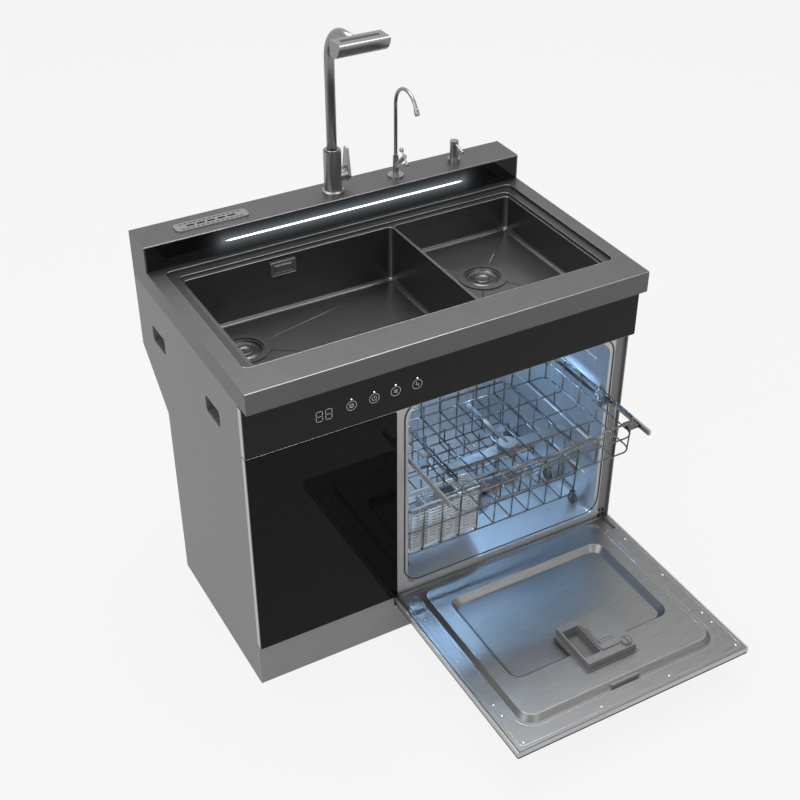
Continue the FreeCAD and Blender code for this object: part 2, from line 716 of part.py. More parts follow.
def make_cupboard_door():
    right = s.door_split - s.door_spacing / 2
    skin = door_front + s.glass_thickness
    rise = (s.door_bottom, door_top)
    node("cupboard_door_glass", soft_box("cupboard_pane", (-half, right), (door_front, skin),
                                         rise, s.edge_round, "y"))
    panel = box("cupboard_block", (-half, right), (skin, door_back), rise)
    wells = []
    for level in (s.door_bottom + s.cup_level, door_top - s.cup_level):
        wells.append(cylinder("hinge_well", s.cup_radius, s.cup_depth, -half + s.cup_place,
                              door_back - s.cup_depth, level, (0, 1, 0)))
    node("cupboard_door_panel", cut("cupboard_cut", panel, wells))
    plates = []
    for level in (s.door_bottom + s.cup_level, door_top - s.cup_level):
        rise = (level - s.cup_radius, level + s.cup_radius)
        plates.append(box("hinge_plate", (-inner, -inner + s.cup_depth),
                          (frame_back + s.cup_radius, frame_back + s.cup_radius * 3), rise))
    wide = s.door_split - s.panel_sheet / 2
    middle = (s.door_bottom + door_top) / 2
    catch = box("catch", (wide - s.cup_depth, wide),
                (carcass_front, frame_back + s.cup_depth),
                (middle - s.catch_height / 2, middle + s.catch_height / 2))
    node("cupboard_fittings", group("cupboard_fitting_set", plates + [catch]))


# Dishwasher door, drawn lying open

def swung(level):
    """The row of a point of the closed door, when the door lies open."""
    return hinge_row - (level - hinge_level)


def dropped(row):
    """The level of a point of the closed door, when the door lies open."""
    return hinge_level + (row - hinge_row)


liner_face = dropped(hinge_row - s.liner_inset)
liner_base = liner_face - s.liner_sheet
pan_top = liner_face + s.pan_height
door_far = swung(door_top)
door_near = swung(s.door_bottom)
door_left = s.door_split + s.door_spacing / 2


def make_dishwasher_door():
    low = dropped(door_front)
    skin = low + s.glass_thickness
    y = (door_far, door_near)
    node("door_glass", soft_box("door_pane", (door_left, half), y, (low, skin),
                                s.edge_round, "z"))
    node("door_panel", box("door_block", (door_left, half), y, (skin, liner_base)))
    pan_x = (tub_left + s.pan_side, tub_right - s.pan_side)
    pan_y = (door_far + s.pan_far, door_near - s.pan_near)
    draft, dish = s.pan_draft, s.dish_draft
    sheet_part = Part.makeBox(
        float(half - s.panel_sheet - s.liner_margin - door_left - s.liner_margin),
        float(door_near - door_far), float(s.liner_sheet),
        vector(door_left + s.liner_margin, door_far, liner_base))
    pan = loft_block((pan_x, pan_y),
                     ((pan_x[0] + draft, pan_x[1] - draft), (pan_y[0] + draft, pan_y[1] - draft)),
                     s.pan_corner, s.pan_corner - draft / 2, liner_face, pan_top)
    dish_x = (pan_x[0] + s.dish_side, pan_x[1] - s.dish_side)
    dish_y = (door_far + s.dish_far, pan_y[1] - s.dish_near)
    hollow = loft_block(
        ((dish_x[0] + dish, dish_x[1] - dish), (dish_y[0] + dish, dish_y[1] - dish)),
        (dish_x, dish_y), s.dish_corner - dish / 2, s.dish_corner, pan_top - s.dish_depth,
        pan_top)
    seat_x, seat_y = dispenser_spans()
    seat = Part.makeBox(float(seat_x[1] - seat_x[0]), float(seat_y[1] - seat_y[0]),
                        float(s.pan_height + s.liner_sheet),
                        vector(seat_x[0], seat_y[0], liner_base))
    liner = sheet_part.fuse(pan).cut(hollow).cut(seat).removeSplitter()
    node("door_liner", feature("liner_shape", liner))
    make_dispenser()
    return make_hinge_arms()


def dispenser_spans():
    x = (s.dispenser_place, s.dispenser_place + s.dispenser_width)
    far = door_far + s.dispenser_far
    return x, (far, far + s.dispenser_length)


def make_dispenser():
    """Detergent cup with a sliding lid, and the rinse aid cap beside it."""
    x, y = dispenser_spans()
    high = pan_top + s.dispenser_rise
    body = soft_box("dispenser", x, y, (liner_base, high), s.dispenser_round, "z")
    well_x = (x[0] + s.dispenser_round, x[0] + s.dispenser_round + s.cup_well_width)
    spare = (s.dispenser_length - s.cup_well_length) / 2
    well_y = (y[0] + spare, y[1] - spare)
    well = soft_box("dispenser_well", well_x, well_y, (high - s.cup_well_depth, high),
                    s.dispenser_round)
    rinse_x = x[1] - s.rinse_radius - s.dispenser_round
    rinse_y = y[0] + s.rinse_radius + s.dispenser_round
    seat = cylinder("rinse_seat", s.rinse_pin + s.pin_play, s.rinse_radius, rinse_x, rinse_y,
                    high - s.rinse_radius)
    node("dispenser_body", cut("dispenser_cut", body, [well, seat]))
    lid_low = high + s.lid_play
    lid_x = (well_x[1] + s.lid_grip, well_x[1] + s.lid_grip + s.lid_travel)
    plate = soft_box("lid_plate", lid_x, well_y, (lid_low, lid_low + s.lid_thickness),
                     s.dispenser_round, "z")
    tab = box("lid_tab", (lid_x[0] + s.dispenser_round, lid_x[0] + s.dispenser_round * 2),
              (well_y[0] + spare, well_y[1] - spare),
              (lid_low + s.lid_thickness, lid_low + s.lid_thickness + s.lid_grip))
    node("dispenser_lid", fuse("lid", [plate, tab]))
    cap = turned("rinse", [
        (0, s.swivel_gap - s.rinse_radius), (s.rinse_pin, s.swivel_gap - s.rinse_radius),
        (s.rinse_pin, s.swivel_gap), (s.rinse_radius, s.swivel_gap),
        (s.rinse_radius, s.rinse_height), (0, s.rinse_height)], rinse_x, rinse_y, high)
    node("rinse_cap", cap)


def make_hinge_arms():
    arms, brackets = [], []
    for x in (arm_left, arm_right):
        span = (x - s.arm_width / 2, x + s.arm_width / 2)
        strap = box("arm_strap", span, (hinge_row - s.arm_length, hinge_row),
                    (liner_face, liner_face + s.arm_thickness))
        boss = cylinder("arm_boss", s.arm_boss, s.arm_width, span[0], hinge_row, hinge_level,
                        (1, 0, 0))
        bore = cylinder("arm_bore", s.pin_radius + s.pin_play, s.arm_width, span[0],
                        hinge_row, hinge_level, (1, 0, 0))
        arms.append(cut("hinge_arm", fuse("arm_solid", [strap, boss]), [bore]))
        pin = cylinder("hinge_pin", s.pin_radius, s.arm_width * 2, x - s.arm_width,
                       hinge_row, hinge_level, (1, 0, 0))
        cheeks = []
        for edge in (x - s.arm_width, x + s.arm_width / 2 + s.swivel_gap):
            cheeks.append(box("hinge_cheek", (edge, edge + s.arm_width / 2 - s.swivel_gap),
                              (hinge_row, frame_back + s.arm_boss),
                              (hinge_level - s.arm_boss, hinge_level + s.arm_boss)))
        yoke = box("hinge_yoke", (x - s.arm_width, x + s.arm_width),
                   (frame_back + s.arm_boss, frame_back + s.arm_boss * 2),
                   (s.foot_height + s.panel_sheet, hinge_level + s.arm_boss))
        brackets.append(fuse("hinge_bracket", [pin, yoke] + cheeks))
    node("door_hinge_arms", group("arms", arms))
    return brackets


# Tub and its inner pieces

def make_tub(brackets):
    """A tub welded from flat sheets and rounded corner strips."""
    x, z = (tub_left, tub_right), (s.tub_floor, tub_top)
    wall = s.tub_sheet
    high, low = s.tub_corner, s.tub_low_corner
    y = (frame_back, tub_back)
    outside = tunnel("tub_outside", (x[0] - wall, x[1] + wall), y,
                     (z[0] - wall, z[1] + wall), high + wall, low + wall)
    inside = tunnel("tub_inside", x, y, z, high, low)
    shell = cut("tub_shell", outside, [inside])
    rear = tunnel("tub_rear", (x[0] - wall, x[1] + wall), (tub_back, tub_back + wall),
                  (z[0] - wall, z[1] + wall), high + wall, low + wall)
    well = cylinder("sump_hole", s.sump_radius, wall * 3, tub_middle, sump_row, z[0] - wall * 2)
    base = box("tub_base", (x[0] + low, x[1] - low), y, (z[0] - wall, z[0]))
    sheets = [rear, cut("tub_floor_sheet", base, [well]), make_sprayer(),
              box("tub_roof", (x[0] + high, x[1] - high), y, (z[1], z[1] + wall)),
              box("tub_left_sheet", (x[0] - wall, x[0]), y, (z[0] + low, z[1] - high)),
              box("tub_right_sheet", (x[1], x[1] + wall), y, (z[0] + low, z[1] - high))]
    for corner, bottom, roof in ((low, z[0] - wall, z[0] + low), (high, z[1] - high, z[1] + wall)):
        for span in ((x[0] - wall, x[0] + corner), (x[1] - corner, x[1] + wall)):
            sheets.append(common("tub_corner_strip", shell,
                                 box("corner_region", span, y, (bottom, roof))))
    node("tub", group("tub_sheets", sheets))
    plate = box("frame_plate", (s.door_split + s.panel_sheet / 2, inner - s.right_return),
                (frame_front, frame_back), (s.frame_low, door_top))
    opening = tunnel("frame_opening", x, (frame_front - wall, frame_back + wall), z, high, low)
    slot = box("frame_slot", (arm_left - s.arm_slot / 2, arm_left + s.arm_slot / 2),
               (frame_front - wall, frame_back + wall),
               (hinge_level - s.arm_slot, hinge_level + s.arm_slot))
    slot_side = s.arm_slot / 2
    sheets = panels("frame_sheets", cut("frame_cut", plate, [opening, slot]),
                    (s.door_split + s.panel_sheet / 2, arm_left - slot_side, arm_left + slot_side,
                     x[0], x[1], inner - s.right_return),
                    (frame_front, frame_back), (s.frame_low, z[0], z[1], door_top))
    node("tub_frame", group("tub_frame_set", [sheets] + brackets))
    inset, width = s.gasket_inset, s.gasket_width
    rear = frame_front
    face = hinge_row - s.liner_inset + s.gasket_gap
    ring = soft_box("gasket_ring", (x[0] - inset - width, x[1] + inset + width), (face, rear),
                    (z[0] - s.pan_near / 2, z[1] + inset + width), s.tub_corner + inset, "y")
    hole = soft_box("gasket_hole", (x[0] - inset, x[1] + inset), (face - wall, rear + wall),
                    (z[0] - s.pan_near / 2 - width, z[1] + inset), s.tub_corner, "y")
    node("door_gasket", cut("gasket_cut", ring, [hole]))
    make_sump()
    make_lamps()


def make_sump():
    wall, floor = s.tub_sheet, s.tub_floor
    radius, depth = s.sump_radius, s.sump_depth
    stem = s.feed_radius
    lift = s.blade_floor_gap
    basin_ = turned("sump_body", [
        (0, -depth - wall), (radius + wall, -depth - wall), (radius + wall, -wall),
        (radius, -wall), (radius, -depth), (stem, -depth), (stem, lift),
        (s.pin_radius * 2, lift), (s.pin_radius * 2, lift + s.blade_height),
        (0, lift + s.blade_height)], tub_middle, sump_row, floor)
    play, collar = s.drain_play, stem + s.pin_play * 5
    filter_low = -depth + play
    node("sump_filter", turned("filter_body", [
        (collar, filter_low), (s.filter_radius, filter_low), (s.filter_radius, -wall),
        (radius - play, -wall), (radius - play, -play), (collar, -play)],
        tub_middle, sump_row, floor))
    pump_level = (s.foot_height + s.panel_sheet + floor) / 2
    edge = tub_middle + radius + wall
    pump = cylinder("pump", s.pump_radius, s.pump_length, edge, sump_row, pump_level, (1, 0, 0))
    drain = cylinder("drain_pump", s.pump_radius * 0.7, s.pump_length / 2, tub_middle - radius - wall,
                     sump_row, pump_level, (-1, 0, 0))
    node("sump", group("sump_set", [basin_, pump, drain]))
    hub = s.blade_floor_gap + s.feed_play
    make_spray_arm("lower_spray_arm", floor + hub, s.pin_radius * 2 + s.pin_play,
                   sump_row, s.blade_length)


def make_sprayer():
    """The fixed cone-shaped sprayer under the tub's roof."""
    high = s.blade_height
    return turned("top_sprayer", [
        (0, -high * 2), (s.top_sprayer, -high), (s.top_sprayer, -high / 2),
        (s.feed_radius, 0), (0, 0)],
        tub_middle, sump_row, tub_top)


def make_spray_arm(name, level, bore, row, length):
    """Two blades that taper from the hub to rounded tips, over a round hub."""
    root, tip, reach = float(s.blade_root), float(s.blade_tip), float(length)
    height = float(s.blade_height)
    centre = vector(tub_middle, row, level)
    left = [FreeCAD.Vector(-reach + tip, tip, 0), FreeCAD.Vector(0, root, 0),
            FreeCAD.Vector(reach - tip, tip, 0)]
    right = [FreeCAD.Vector(-p.x, -p.y, 0) for p in left]
    edges = [Part.LineSegment(left[0], left[1]), Part.LineSegment(left[1], left[2]),
             Part.Arc(left[2], FreeCAD.Vector(reach, 0, 0), right[0]),
             Part.LineSegment(right[0], right[1]), Part.LineSegment(right[1], right[2]),
             Part.Arc(right[2], FreeCAD.Vector(-reach, 0, 0), left[0])]
    face = Part.Face(Part.Wire([edge.toShape() for edge in edges]))
    blade = face.extrude(FreeCAD.Vector(0, 0, height))
    hub = Part.makeCylinder(float(s.hub_radius), height)
    hole = Part.makeCylinder(float(bore), height)
    shape = blade.fuse(hub).cut(hole).removeSplitter()
    shape.translate(centre)
    node(name, feature(name + "_shape", shape))


def make_lamps():
    lamps = []
    for side in (-1, 1):
        middle = tub_middle + s.lamp_spacing / 2 * side
        lamps.append(soft_box("lamp", (middle - s.lamp_width / 2, middle + s.lamp_width / 2),
                              (-s.lamp_depth / 2, s.lamp_depth / 2),
                              (tub_top - s.lamp_height, tub_top), s.lamp_height, "z"))
    node("tub_lamps", group("lamps", lamps))


# Racks

def spread(start, end, count):
    """Evenly spaced places between two ends, without the ends."""
    step = (end - start) / (count + 1)
    return [start + step * (i + 1) for i in range(count)]


def wire_floor(name, x, y, level, columns, rows, fittings):
    """A flat grille in a frame, with the crosswise wires under the lengthwise ones."""
    wire = float(s.wire_size)
    (x0, x1), (y0, y1) = [(float(a), float(b)) for a, b in (x, y)]
    z = float(level)
    under = z - wire * s.wire_lap.number
    wires = [ring_shape((x0, x1), (y0, y1), z - wire / 2, z + wire / 2, wire / 2, wire / 2)]
    for place_x in spread(x0, x1, columns):
        wires.append(bar_shape(vector(place_x, y0, z), vector(place_x, y1, z), wire))
    for place_y in spread(y0, y1, rows):
        wires.append(bar_shape(vector(x0, place_y, under), vector(x1, place_y, under), wire))
    node(name, group(name + "_set", [feature(name + "_shape", one_shape(wires))] + fittings))


def wire_walls(name, x, y, low, high, lean, columns, rows, fittings):
    """Upright wires between the floor frame and a thicker rim, with a rail half way."""
    wire, rim = float(s.wire_size), float(s.rim_wire)
    (x0, x1), (y0, y1) = [(float(a), float(b)) for a, b in (x, y)]
    foot = float(low) + wire / 2
    z, lean = float(high), float(lean)
    middle, lap = (foot + z) / 2, wire * s.wire_lap.number
    wires = [ring_shape((x0, x1), (y0, y1), z - rim / 2, z + rim / 2, rim / 2, rim / 2)]
    inset = lap + lean / 2
    wires.append(ring_shape((x0 + lap, x1 - lap), (y0 + inset, y1 - lap), middle - wire / 2,
                            middle + wire / 2, wire / 2, wire / 2))
    for place_x in [x0] + spread(x0, x1, columns) + [x1]:
        wires.append(bar_shape(vector(place_x, y0 + lean, foot), vector(place_x, y0, z), wire))
        wires.append(bar_shape(vector(place_x, y1, foot), vector(place_x, y1, z), wire))
    for place_y in spread(y0, y1, rows):
        wires.append(bar_shape(vector(x0, place_y, foot), vector(x0, place_y, z), wire))
        wires.append(bar_shape(vector(x1, place_y, foot), vector(x1, place_y, z), wire))
    node(name, group(name + "_set", [feature(name + "_shape", one_shape(wires))] + fittings))


def wire_tines(name, x, rows, level, columns):
    """Rows of upright tines, each row on a wire that crosses the floor."""
    wire = float(s.wire_size)
    base = float(level) + wire
    strips = []
    for row in rows:
        wires = [bar_shape(vector(x[0], row, base), vector(x[1], row, base), wire)]
        for place_x in spread(float(x[0]), float(x[1]), columns):
            wires.append(bar_shape(vector(place_x, row, base),
                                   vector(place_x, row, base + float(s.tine_height)), wire))
        strips.append(one_shape(wires))
    node(name, feature(name + "_shape", Part.makeCompound(strips)))


lower_x = (tub_left + s.rack_gap, tub_right - s.rack_gap)
upper_x = (tub_left + s.upper_gap, tub_right - s.upper_gap)


def make_lower_rack():
    y = (rack_front, rack_back)
    lean = s.rack_slope
    columns, rows = int(s.lower_columns.number), int(s.lower_rows.number)
    wire_floor("lower_rack_floor", lower_x, (y[0] + lean, y[1]), s.lower_floor, columns, rows,
               make_wheels())
    wire_walls("lower_rack_walls", lower_x, y, s.lower_floor, s.lower_rim, lean, columns,
               rows, [])
    start = float(y[0] + lean + s.basket_width + s.rim_wire * 2)
    tine_rows = spread(start, float(y[1]), int(s.tine_rows.number))
    wire_tines("lower_rack_tines", lower_x, tine_rows, s.lower_floor, columns + 1)
    make_basket(y[0] + lean + s.wire_size + s.rim_wire / 2)


def make_wheels():
    """Three pairs of wheels on stub axles under the sides of the rack."""
    level = s.tub_floor + s.wheel_radius + s.wheel_play
    first = rack_front + s.wheel_front
    rows = {"front": first, "middle": first + s.wheel_spacing,
            "rear": rack_back - s.wheel_tail}
    plate, play = s.bracket_sheet, s.wheel_play
    brackets = []
    for which, row in rows.items():
        pair = []
        for edge, sign in ((lower_x[0], 1), (lower_x[1], -1)):
            near = edge + play * sign
            far = near + s.wheel_width * sign
            side = far + play * sign
            start = near if sign > 0 else far
            rim = cylinder("wheel_rim", s.wheel_radius, s.wheel_width, start, row, level, (1, 0, 0))
            bore = cylinder("wheel_bore", s.axle_radius + s.pin_play, s.wheel_width, start, row,
                            level, (1, 0, 0))
            pair.append(cut("wheel", rim, [bore]))
            span = (side, side + plate) if sign > 0 else (side - plate, side)
            hanger = box("wheel_hanger", span,
                         (row - s.bracket_width / 2, row + s.bracket_width / 2),
                         (level - s.bracket_width / 2, s.lower_floor - s.wire_size / 2 - plate))
            high = s.lower_floor - s.wire_size / 2
            reach = (edge, side + plate) if sign > 0 else (side - plate, edge)
            tab = box("wheel_tab", reach,
                      (row - s.bracket_width / 2, row + s.bracket_width / 2),
                      (high - plate, high))
            stub = near if sign > 0 else side - plate
            axle = cylinder("wheel_axle", s.axle_radius, s.wheel_width + play + plate, stub, row,
                            level, (1, 0, 0))
            brackets.append(fuse("wheel_bracket", [tab, hanger, axle]))
        node("wheels_" + which, group("wheel_pair", pair))
    return brackets


def make_basket(front_row):
    """A moulded lattice box with a thick rim, open at the top."""
    wall, rim = float(s.basket_wall), float(s.basket_rim)
    x0, y0 = float(lower_x[0] + s.basket_place), float(front_row)
    x1, y1 = x0 + float(s.basket_length), y0 + float(s.basket_width)
    z0 = float(s.lower_floor + s.wire_size / 2 + s.basket_play)
    z1 = z0 + float(s.basket_height)

    def ring(low, high, thick):
        outer_ = Part.makeBox(x1 - x0, y1 - y0, high - low, vector(x0, y0, low))
        hollow = Part.makeBox(x1 - x0 - 2 * thick, y1 - y0 - 2 * thick, high - low,
                              vector(x0 + thick, y0 + thick, low))
        return outer_.cut(hollow)

    pieces = [Part.makeBox(x1 - x0, y1 - y0, wall, vector(x0, y0, z0)), ring(z1 - rim, z1, wall)]
    bands = int(s.basket_bands.number)
    for level in spread(z0, z1 - rim, bands):
        pieces.append(ring(level, level + wall, wall))
    for x in [x0] + spread(x0, x1 - wall, int(s.basket_bars.number)) + [x1 - wall]:
        for y in (y0, y1 - wall):
            pieces.append(Part.makeBox(wall, wall, z1 - z0, vector(x, y, z0)))
    cells = int(s.basket_cells.number)
    for y in spread(y0, y1 - wall, cells - 1):
        for x in (x0, x1 - wall):
            pieces.append(Part.makeBox(wall, wall, z1 - z0, vector(x, y, z0)))
    for x in spread(x0, x1, cells - 1):
        pieces.append(Part.makeBox(wall, y1 - y0, z1 - z0 - rim, vector(x, y0, z0)))
    node("cutlery_basket", feature("basket_shape", one_shape(pieces)))


def make_upper_rack():
    out = s.upper_travel
    y = (rack_front - out, rack_back - out)
    columns, rows = int(s.upper_columns.number), int(s.upper_rows.number)
    wall, play, high = s.rail_sheet, s.rail_play, s.rail_height / 2
    fixed, moving, glides = [], [], []
    for edge, sign, rack in ((tub_left, 1, upper_x[0]), (tub_right, -1, upper_x[1])):
        face = edge + s.rail_thickness * sign
        fixed.append(channel("fixed_rail", edge, face, sign, high,
                             rail_row, rail_length))
        start = edge + (wall + play) * sign
        end = start + s.rail_thickness * sign
        inner_high = high - wall - play
        moving.append(channel("moving_rail", start, end, sign, inner_high,
                              rail_row - out, rail_length))
        pad_high = inner_high - wall - play
        reach = (start + (wall + play) * sign, rack)
        span = reach if sign > 0 else (reach[1], reach[0])
        for i in range(2):
            row = y[0] + s.glide_front + s.glide_spacing * i
            glides.append(box("glide", span, (row, row + s.glide_length),
                              (rail_level - pad_high, rail_level + pad_high)))
    node("tub_rails", group("fixed_rails", fixed))
    node("upper_rack_rails", group("moving_rails", moving))
    centre = sump_row - out
    post_low = upper_floor - s.wire_size / 2 - s.mount_height
    pin_low = post_low - s.blade_height - s.feed_play * 2
    rise = upper_floor - s.wire_size / 2 - pin_low
    mount = turned("arm_mount", [
        (0, 0), (s.pin_radius * 2, 0), (s.pin_radius * 2, post_low - pin_low),
        (s.hub_radius, post_low - pin_low), (s.hub_radius, rise), (0, rise)],
        tub_middle, centre, pin_low)
    wire_floor("upper_rack_floor", upper_x, (y[0] + s.rack_slope, y[1]), upper_floor,
               columns, rows, [mount])
    wire_walls("upper_rack_walls", upper_x, y, upper_floor, upper_rim, s.rack_slope,
               columns, rows, glides)
    make_spray_arm("upper_spray_arm", post_low - s.blade_height - s.feed_play,
                   s.pin_radius * 2 + s.pin_play, centre, s.upper_blade)


def channel(name, start, end, sign, high, row, length):
    """A rail of C section, open towards the middle of the tub."""
    wall = s.rail_sheet
    span = (start, end) if sign > 0 else (end, start)
    groove = (start + wall, end) if sign > 0 else (end, start - wall)
    y = (row, row + length)
    body = box(name + "_bar", span, y, (rail_level - high, rail_level + high))
    hollow = box(name + "_groove", groove, y, (rail_level - high + wall, rail_level + high - wall))
    return cut(name, body, [hollow])


# Fittings on the ledge

def make_faucet():
    x, row, base = s.faucet_place, fitting_row, ledge_top
    height, radius = s.faucet_height, s.faucet_radius
    bore = s.spout_radius + s.socket_play
    socket = height - s.socket_depth * 2
    post = turned("faucet_post", [
        (0, 0), (s.faucet_flange, 0), (s.faucet_flange, s.edge_round * 2), (radius, s.edge_round * 3),
        (radius, height), (bore, height), (bore, socket), (0, socket)], x, row, base)
    boss = cylinder("faucet_boss", s.boss_radius, s.boss_reach, x, row, base + s.boss_level,
                    (1, 0, 0))
    end = x + s.boss_reach
    hole = cylinder("faucet_boss_bore", s.spindle_radius + s.socket_play, s.socket_depth,
                    end - s.socket_depth, row, base + s.boss_level, (1, 0, 0))
    node("faucet_body", cut("faucet_cut", fuse("faucet_solid", [post, boss]), [hole]))
    make_spout(x, row, base + height, socket - height)
    make_lever(end, row, base + s.boss_level)


def make_spout(x, row, level, socket):
    radius, bend = s.spout_radius, s.spout_bend
    rise = level + s.spout_rise - s.faucet_height
    low = level + socket + s.swivel_gap
    ring_low = level + s.swivel_gap
    ring_high = ring_low + s.spout_ring
    stem = cylinder("spout_stem", radius, ring_high - low, x, row, low)
    ring = cylinder("spout_ring", radius + s.spout_radius / 2, s.spout_ring, x, row, ring_low)
    end = row - s.spout_reach
    middle = rise + bend
    steps = int(s.bend_steps.number)
    line = [vector(x, row, ring_high)] + bend_points(x, row, rise, bend, 90, steps)
    line.append(vector(x, end, middle))
    pipe = feature("spout_pipe", tube_shape(line, radius, int(s.spout_sides.number)))
    wide, deep, high = s.head_length / 2, s.head_width, s.head_height / 2
    bar = soft_box("head", (x - wide, x + wide), (end - deep, end),
                   (middle - high, middle + high), s.edge_round * 3, "x")
    slot = box("head_slot_cut", (x - wide + s.head_slot * 2, x + wide - s.head_slot * 2),
               (end - deep / 2 - s.head_slot / 2, end - deep / 2 + s.head_slot / 2),
               (middle + high - s.head_slot, middle + high))
    head = cut("head_cut", bar, [slot])
    node("faucet_spout", fuse("spout", [stem, ring, pipe, head]))


def make_lever(face, row, level):
    """The mixing cartridge in its boss, and the teardrop lever on the cartridge."""
    gap = s.swivel_gap
    spindle = s.spindle_radius
    disc = turned("cartridge", [
        (0, -s.socket_depth + gap * 2), (spindle, -s.socket_depth + gap * 2), (spindle, gap),
        (s.boss_radius, gap), (s.boss_radius, gap + s.cartridge_length),
        (0, gap + s.cartridge_length)], face, row, level, (1, 0, 0))
    node("faucet_cartridge", disc)
    start = face + s.cartridge_length + gap * 2
    root, tip, length = float(s.lever_root), float(s.lever_tip), float(s.lever_length)
    a, b = FreeCAD.Vector(0, -root, 0), FreeCAD.Vector(0, root, 0)
    c, d = FreeCAD.Vector(0, tip, length), FreeCAD.Vector(0, -tip, length)
    edges = [Part.Arc(b, FreeCAD.Vector(0, 0, -root), a), Part.LineSegment(a, d),
             Part.Arc(d, FreeCAD.Vector(0, 0, length + tip), c), Part.LineSegment(c, b)]
    face_ = Part.Face(Part.Wire([edge.toShape() for edge in edges]))
    lever = face_.extrude(along_x(s.lever_thickness))
    thing = feature("lever_shape", lever)
    node("faucet_lever", place_at(thing, start, row, level))


def place_at(thing, x, y, z):
    thing.Placement = FreeCAD.Placement(vector(x, y, z), FreeCAD.Rotation())
    return thing


def make_tap():
    x, row, base = s.tap_place, fitting_row, ledge_top
    height, bore = s.tap_height, s.tap_pipe + s.socket_play
    deep = height - s.socket_depth
    post = turned("tap_post", [
        (0, 0), (s.tap_flange, 0), (s.tap_flange, s.edge_round * 2),
        (s.tap_neck, s.edge_round * 2), (s.tap_neck, height), (bore, height), (bore, deep),
        (0, deep)], x, row, base)
    level = base + s.valve_level
    slant = (0, -1, 1)
    valve = cylinder("tap_valve", s.valve_radius, s.valve_reach, x, row, level, slant)
    step = s.valve_reach * 0.5 ** 0.5
    hole = cylinder("tap_valve_bore", s.tap_pipe / 2 + s.socket_play, s.socket_depth, x,
                    row - step * 0.5, level + step * 0.5, slant)
    node("tap_body", cut("tap_cut", fuse("tap_solid", [post, valve]), [hole]))
    low = base + deep + s.swivel_gap
    rise = base + s.tap_rise
    bend = s.tap_bend
    stem = cylinder("tap_stem", s.tap_pipe, base + height - low, x, row, low)
    line = [vector(x, row, base + height)]
    line += bend_points(x, row, rise, bend, 180, int(s.bend_steps.number) * 2)
    pipe = feature("tap_pipe_bend", tube_shape(line, s.tap_pipe, int(s.tap_sides.number)))
    nozzle = cylinder("tap_nozzle", s.nozzle_radius, s.nozzle_length, x, row - bend * 2, rise,
                      (0, 0, -1))
    node("tap_spout", fuse("tap_spout_solid", [stem, pipe, nozzle]))
    make_tap_handle(x, row, level, slant)


def make_tap_handle(x, row, level, slant):
    """A cross bar with barrel ends on a stem, drawn along Z and then leaned over."""
    start, reach = float(s.valve_reach + s.swivel_gap), float(s.cross_reach)
    arm, ball, spindle = float(s.cross_arm), float(s.cross_ball), float(s.tap_pipe / 2)
    inner_end = start - float(s.socket_depth) / 2
    across = FreeCAD.Vector(0, 1, 0)
    middle = FreeCAD.Vector(0, 0, reach - ball)
    pieces = [Part.makeCylinder(spindle, start - inner_end, FreeCAD.Vector(0, 0, inner_end)),
              Part.makeCylinder(float(s.valve_radius), reach - start,
                                FreeCAD.Vector(0, 0, start)),
              Part.makeCylinder(spindle, arm * 2, middle - across * arm, across)]
    for side in (-1, 1):
        pieces.append(Part.makeCylinder(ball, ball, middle + across * (arm * side),
                                        across * side))
    thing = feature("tap_handle_shape", one_shape(pieces))
    turn = FreeCAD.Rotation(FreeCAD.Vector(0, 0, 1), FreeCAD.Vector(*slant))
    thing.Placement = FreeCAD.Placement(vector(x, row, level), turn)
    node("tap_handle", thing)


def make_soap():
    x, row, base = s.soap_place, fitting_row, ledge_top
    inside = s.soap_cap + s.soap_play
    outside = inside + s.bowl_sheet
    low = -s.ledge_height / 2
    deep = low - s.bottle_height
    wall = s.bowl_sheet
    node("soap_bottle", turned("soap_bottle_body", [
        (0, deep), (s.bottle_radius, deep), (s.bottle_radius, low), (outside, low),
        (outside, 0), (s.soap_flange, 0), (s.soap_flange, s.soap_flange_height),
        (inside, s.soap_flange_height), (inside, low - wall), (s.bottle_radius - wall, low - wall),
        (s.bottle_radius - wall, deep + wall), (0, deep + wall)], x, row, base))
    skirt = s.soap_flange_height - s.soap_skirt
    stem_low = low - s.soap_travel
    node("soap_plunger", turned("soap_stem", [
        (0, stem_low), (s.plunger_radius, stem_low), (s.plunger_radius, skirt + s.soap_travel),
        (0, skirt + s.soap_travel)], x, row, base))
    bore = s.plunger_radius + s.socket_play
    roof = skirt + s.soap_travel + s.swivel_gap
    cap = turned("soap_cap_body", [
        (bore, skirt), (s.soap_cap, skirt), (s.soap_cap, s.soap_top), (0, s.soap_top), (0, roof),
        (bore, roof)], x, row, base)
    lean = (0, -s.soap_reach.number, -s.soap_nozzle_drop.number)
    pipe = cylinder("soap_pipe", s.soap_nozzle, s.soap_reach, x, row,
                    base + s.soap_top - s.soap_cap / 2, lean)
    node("soap_nozzle", fuse("soap_nozzle_solid", [cap, pipe]))


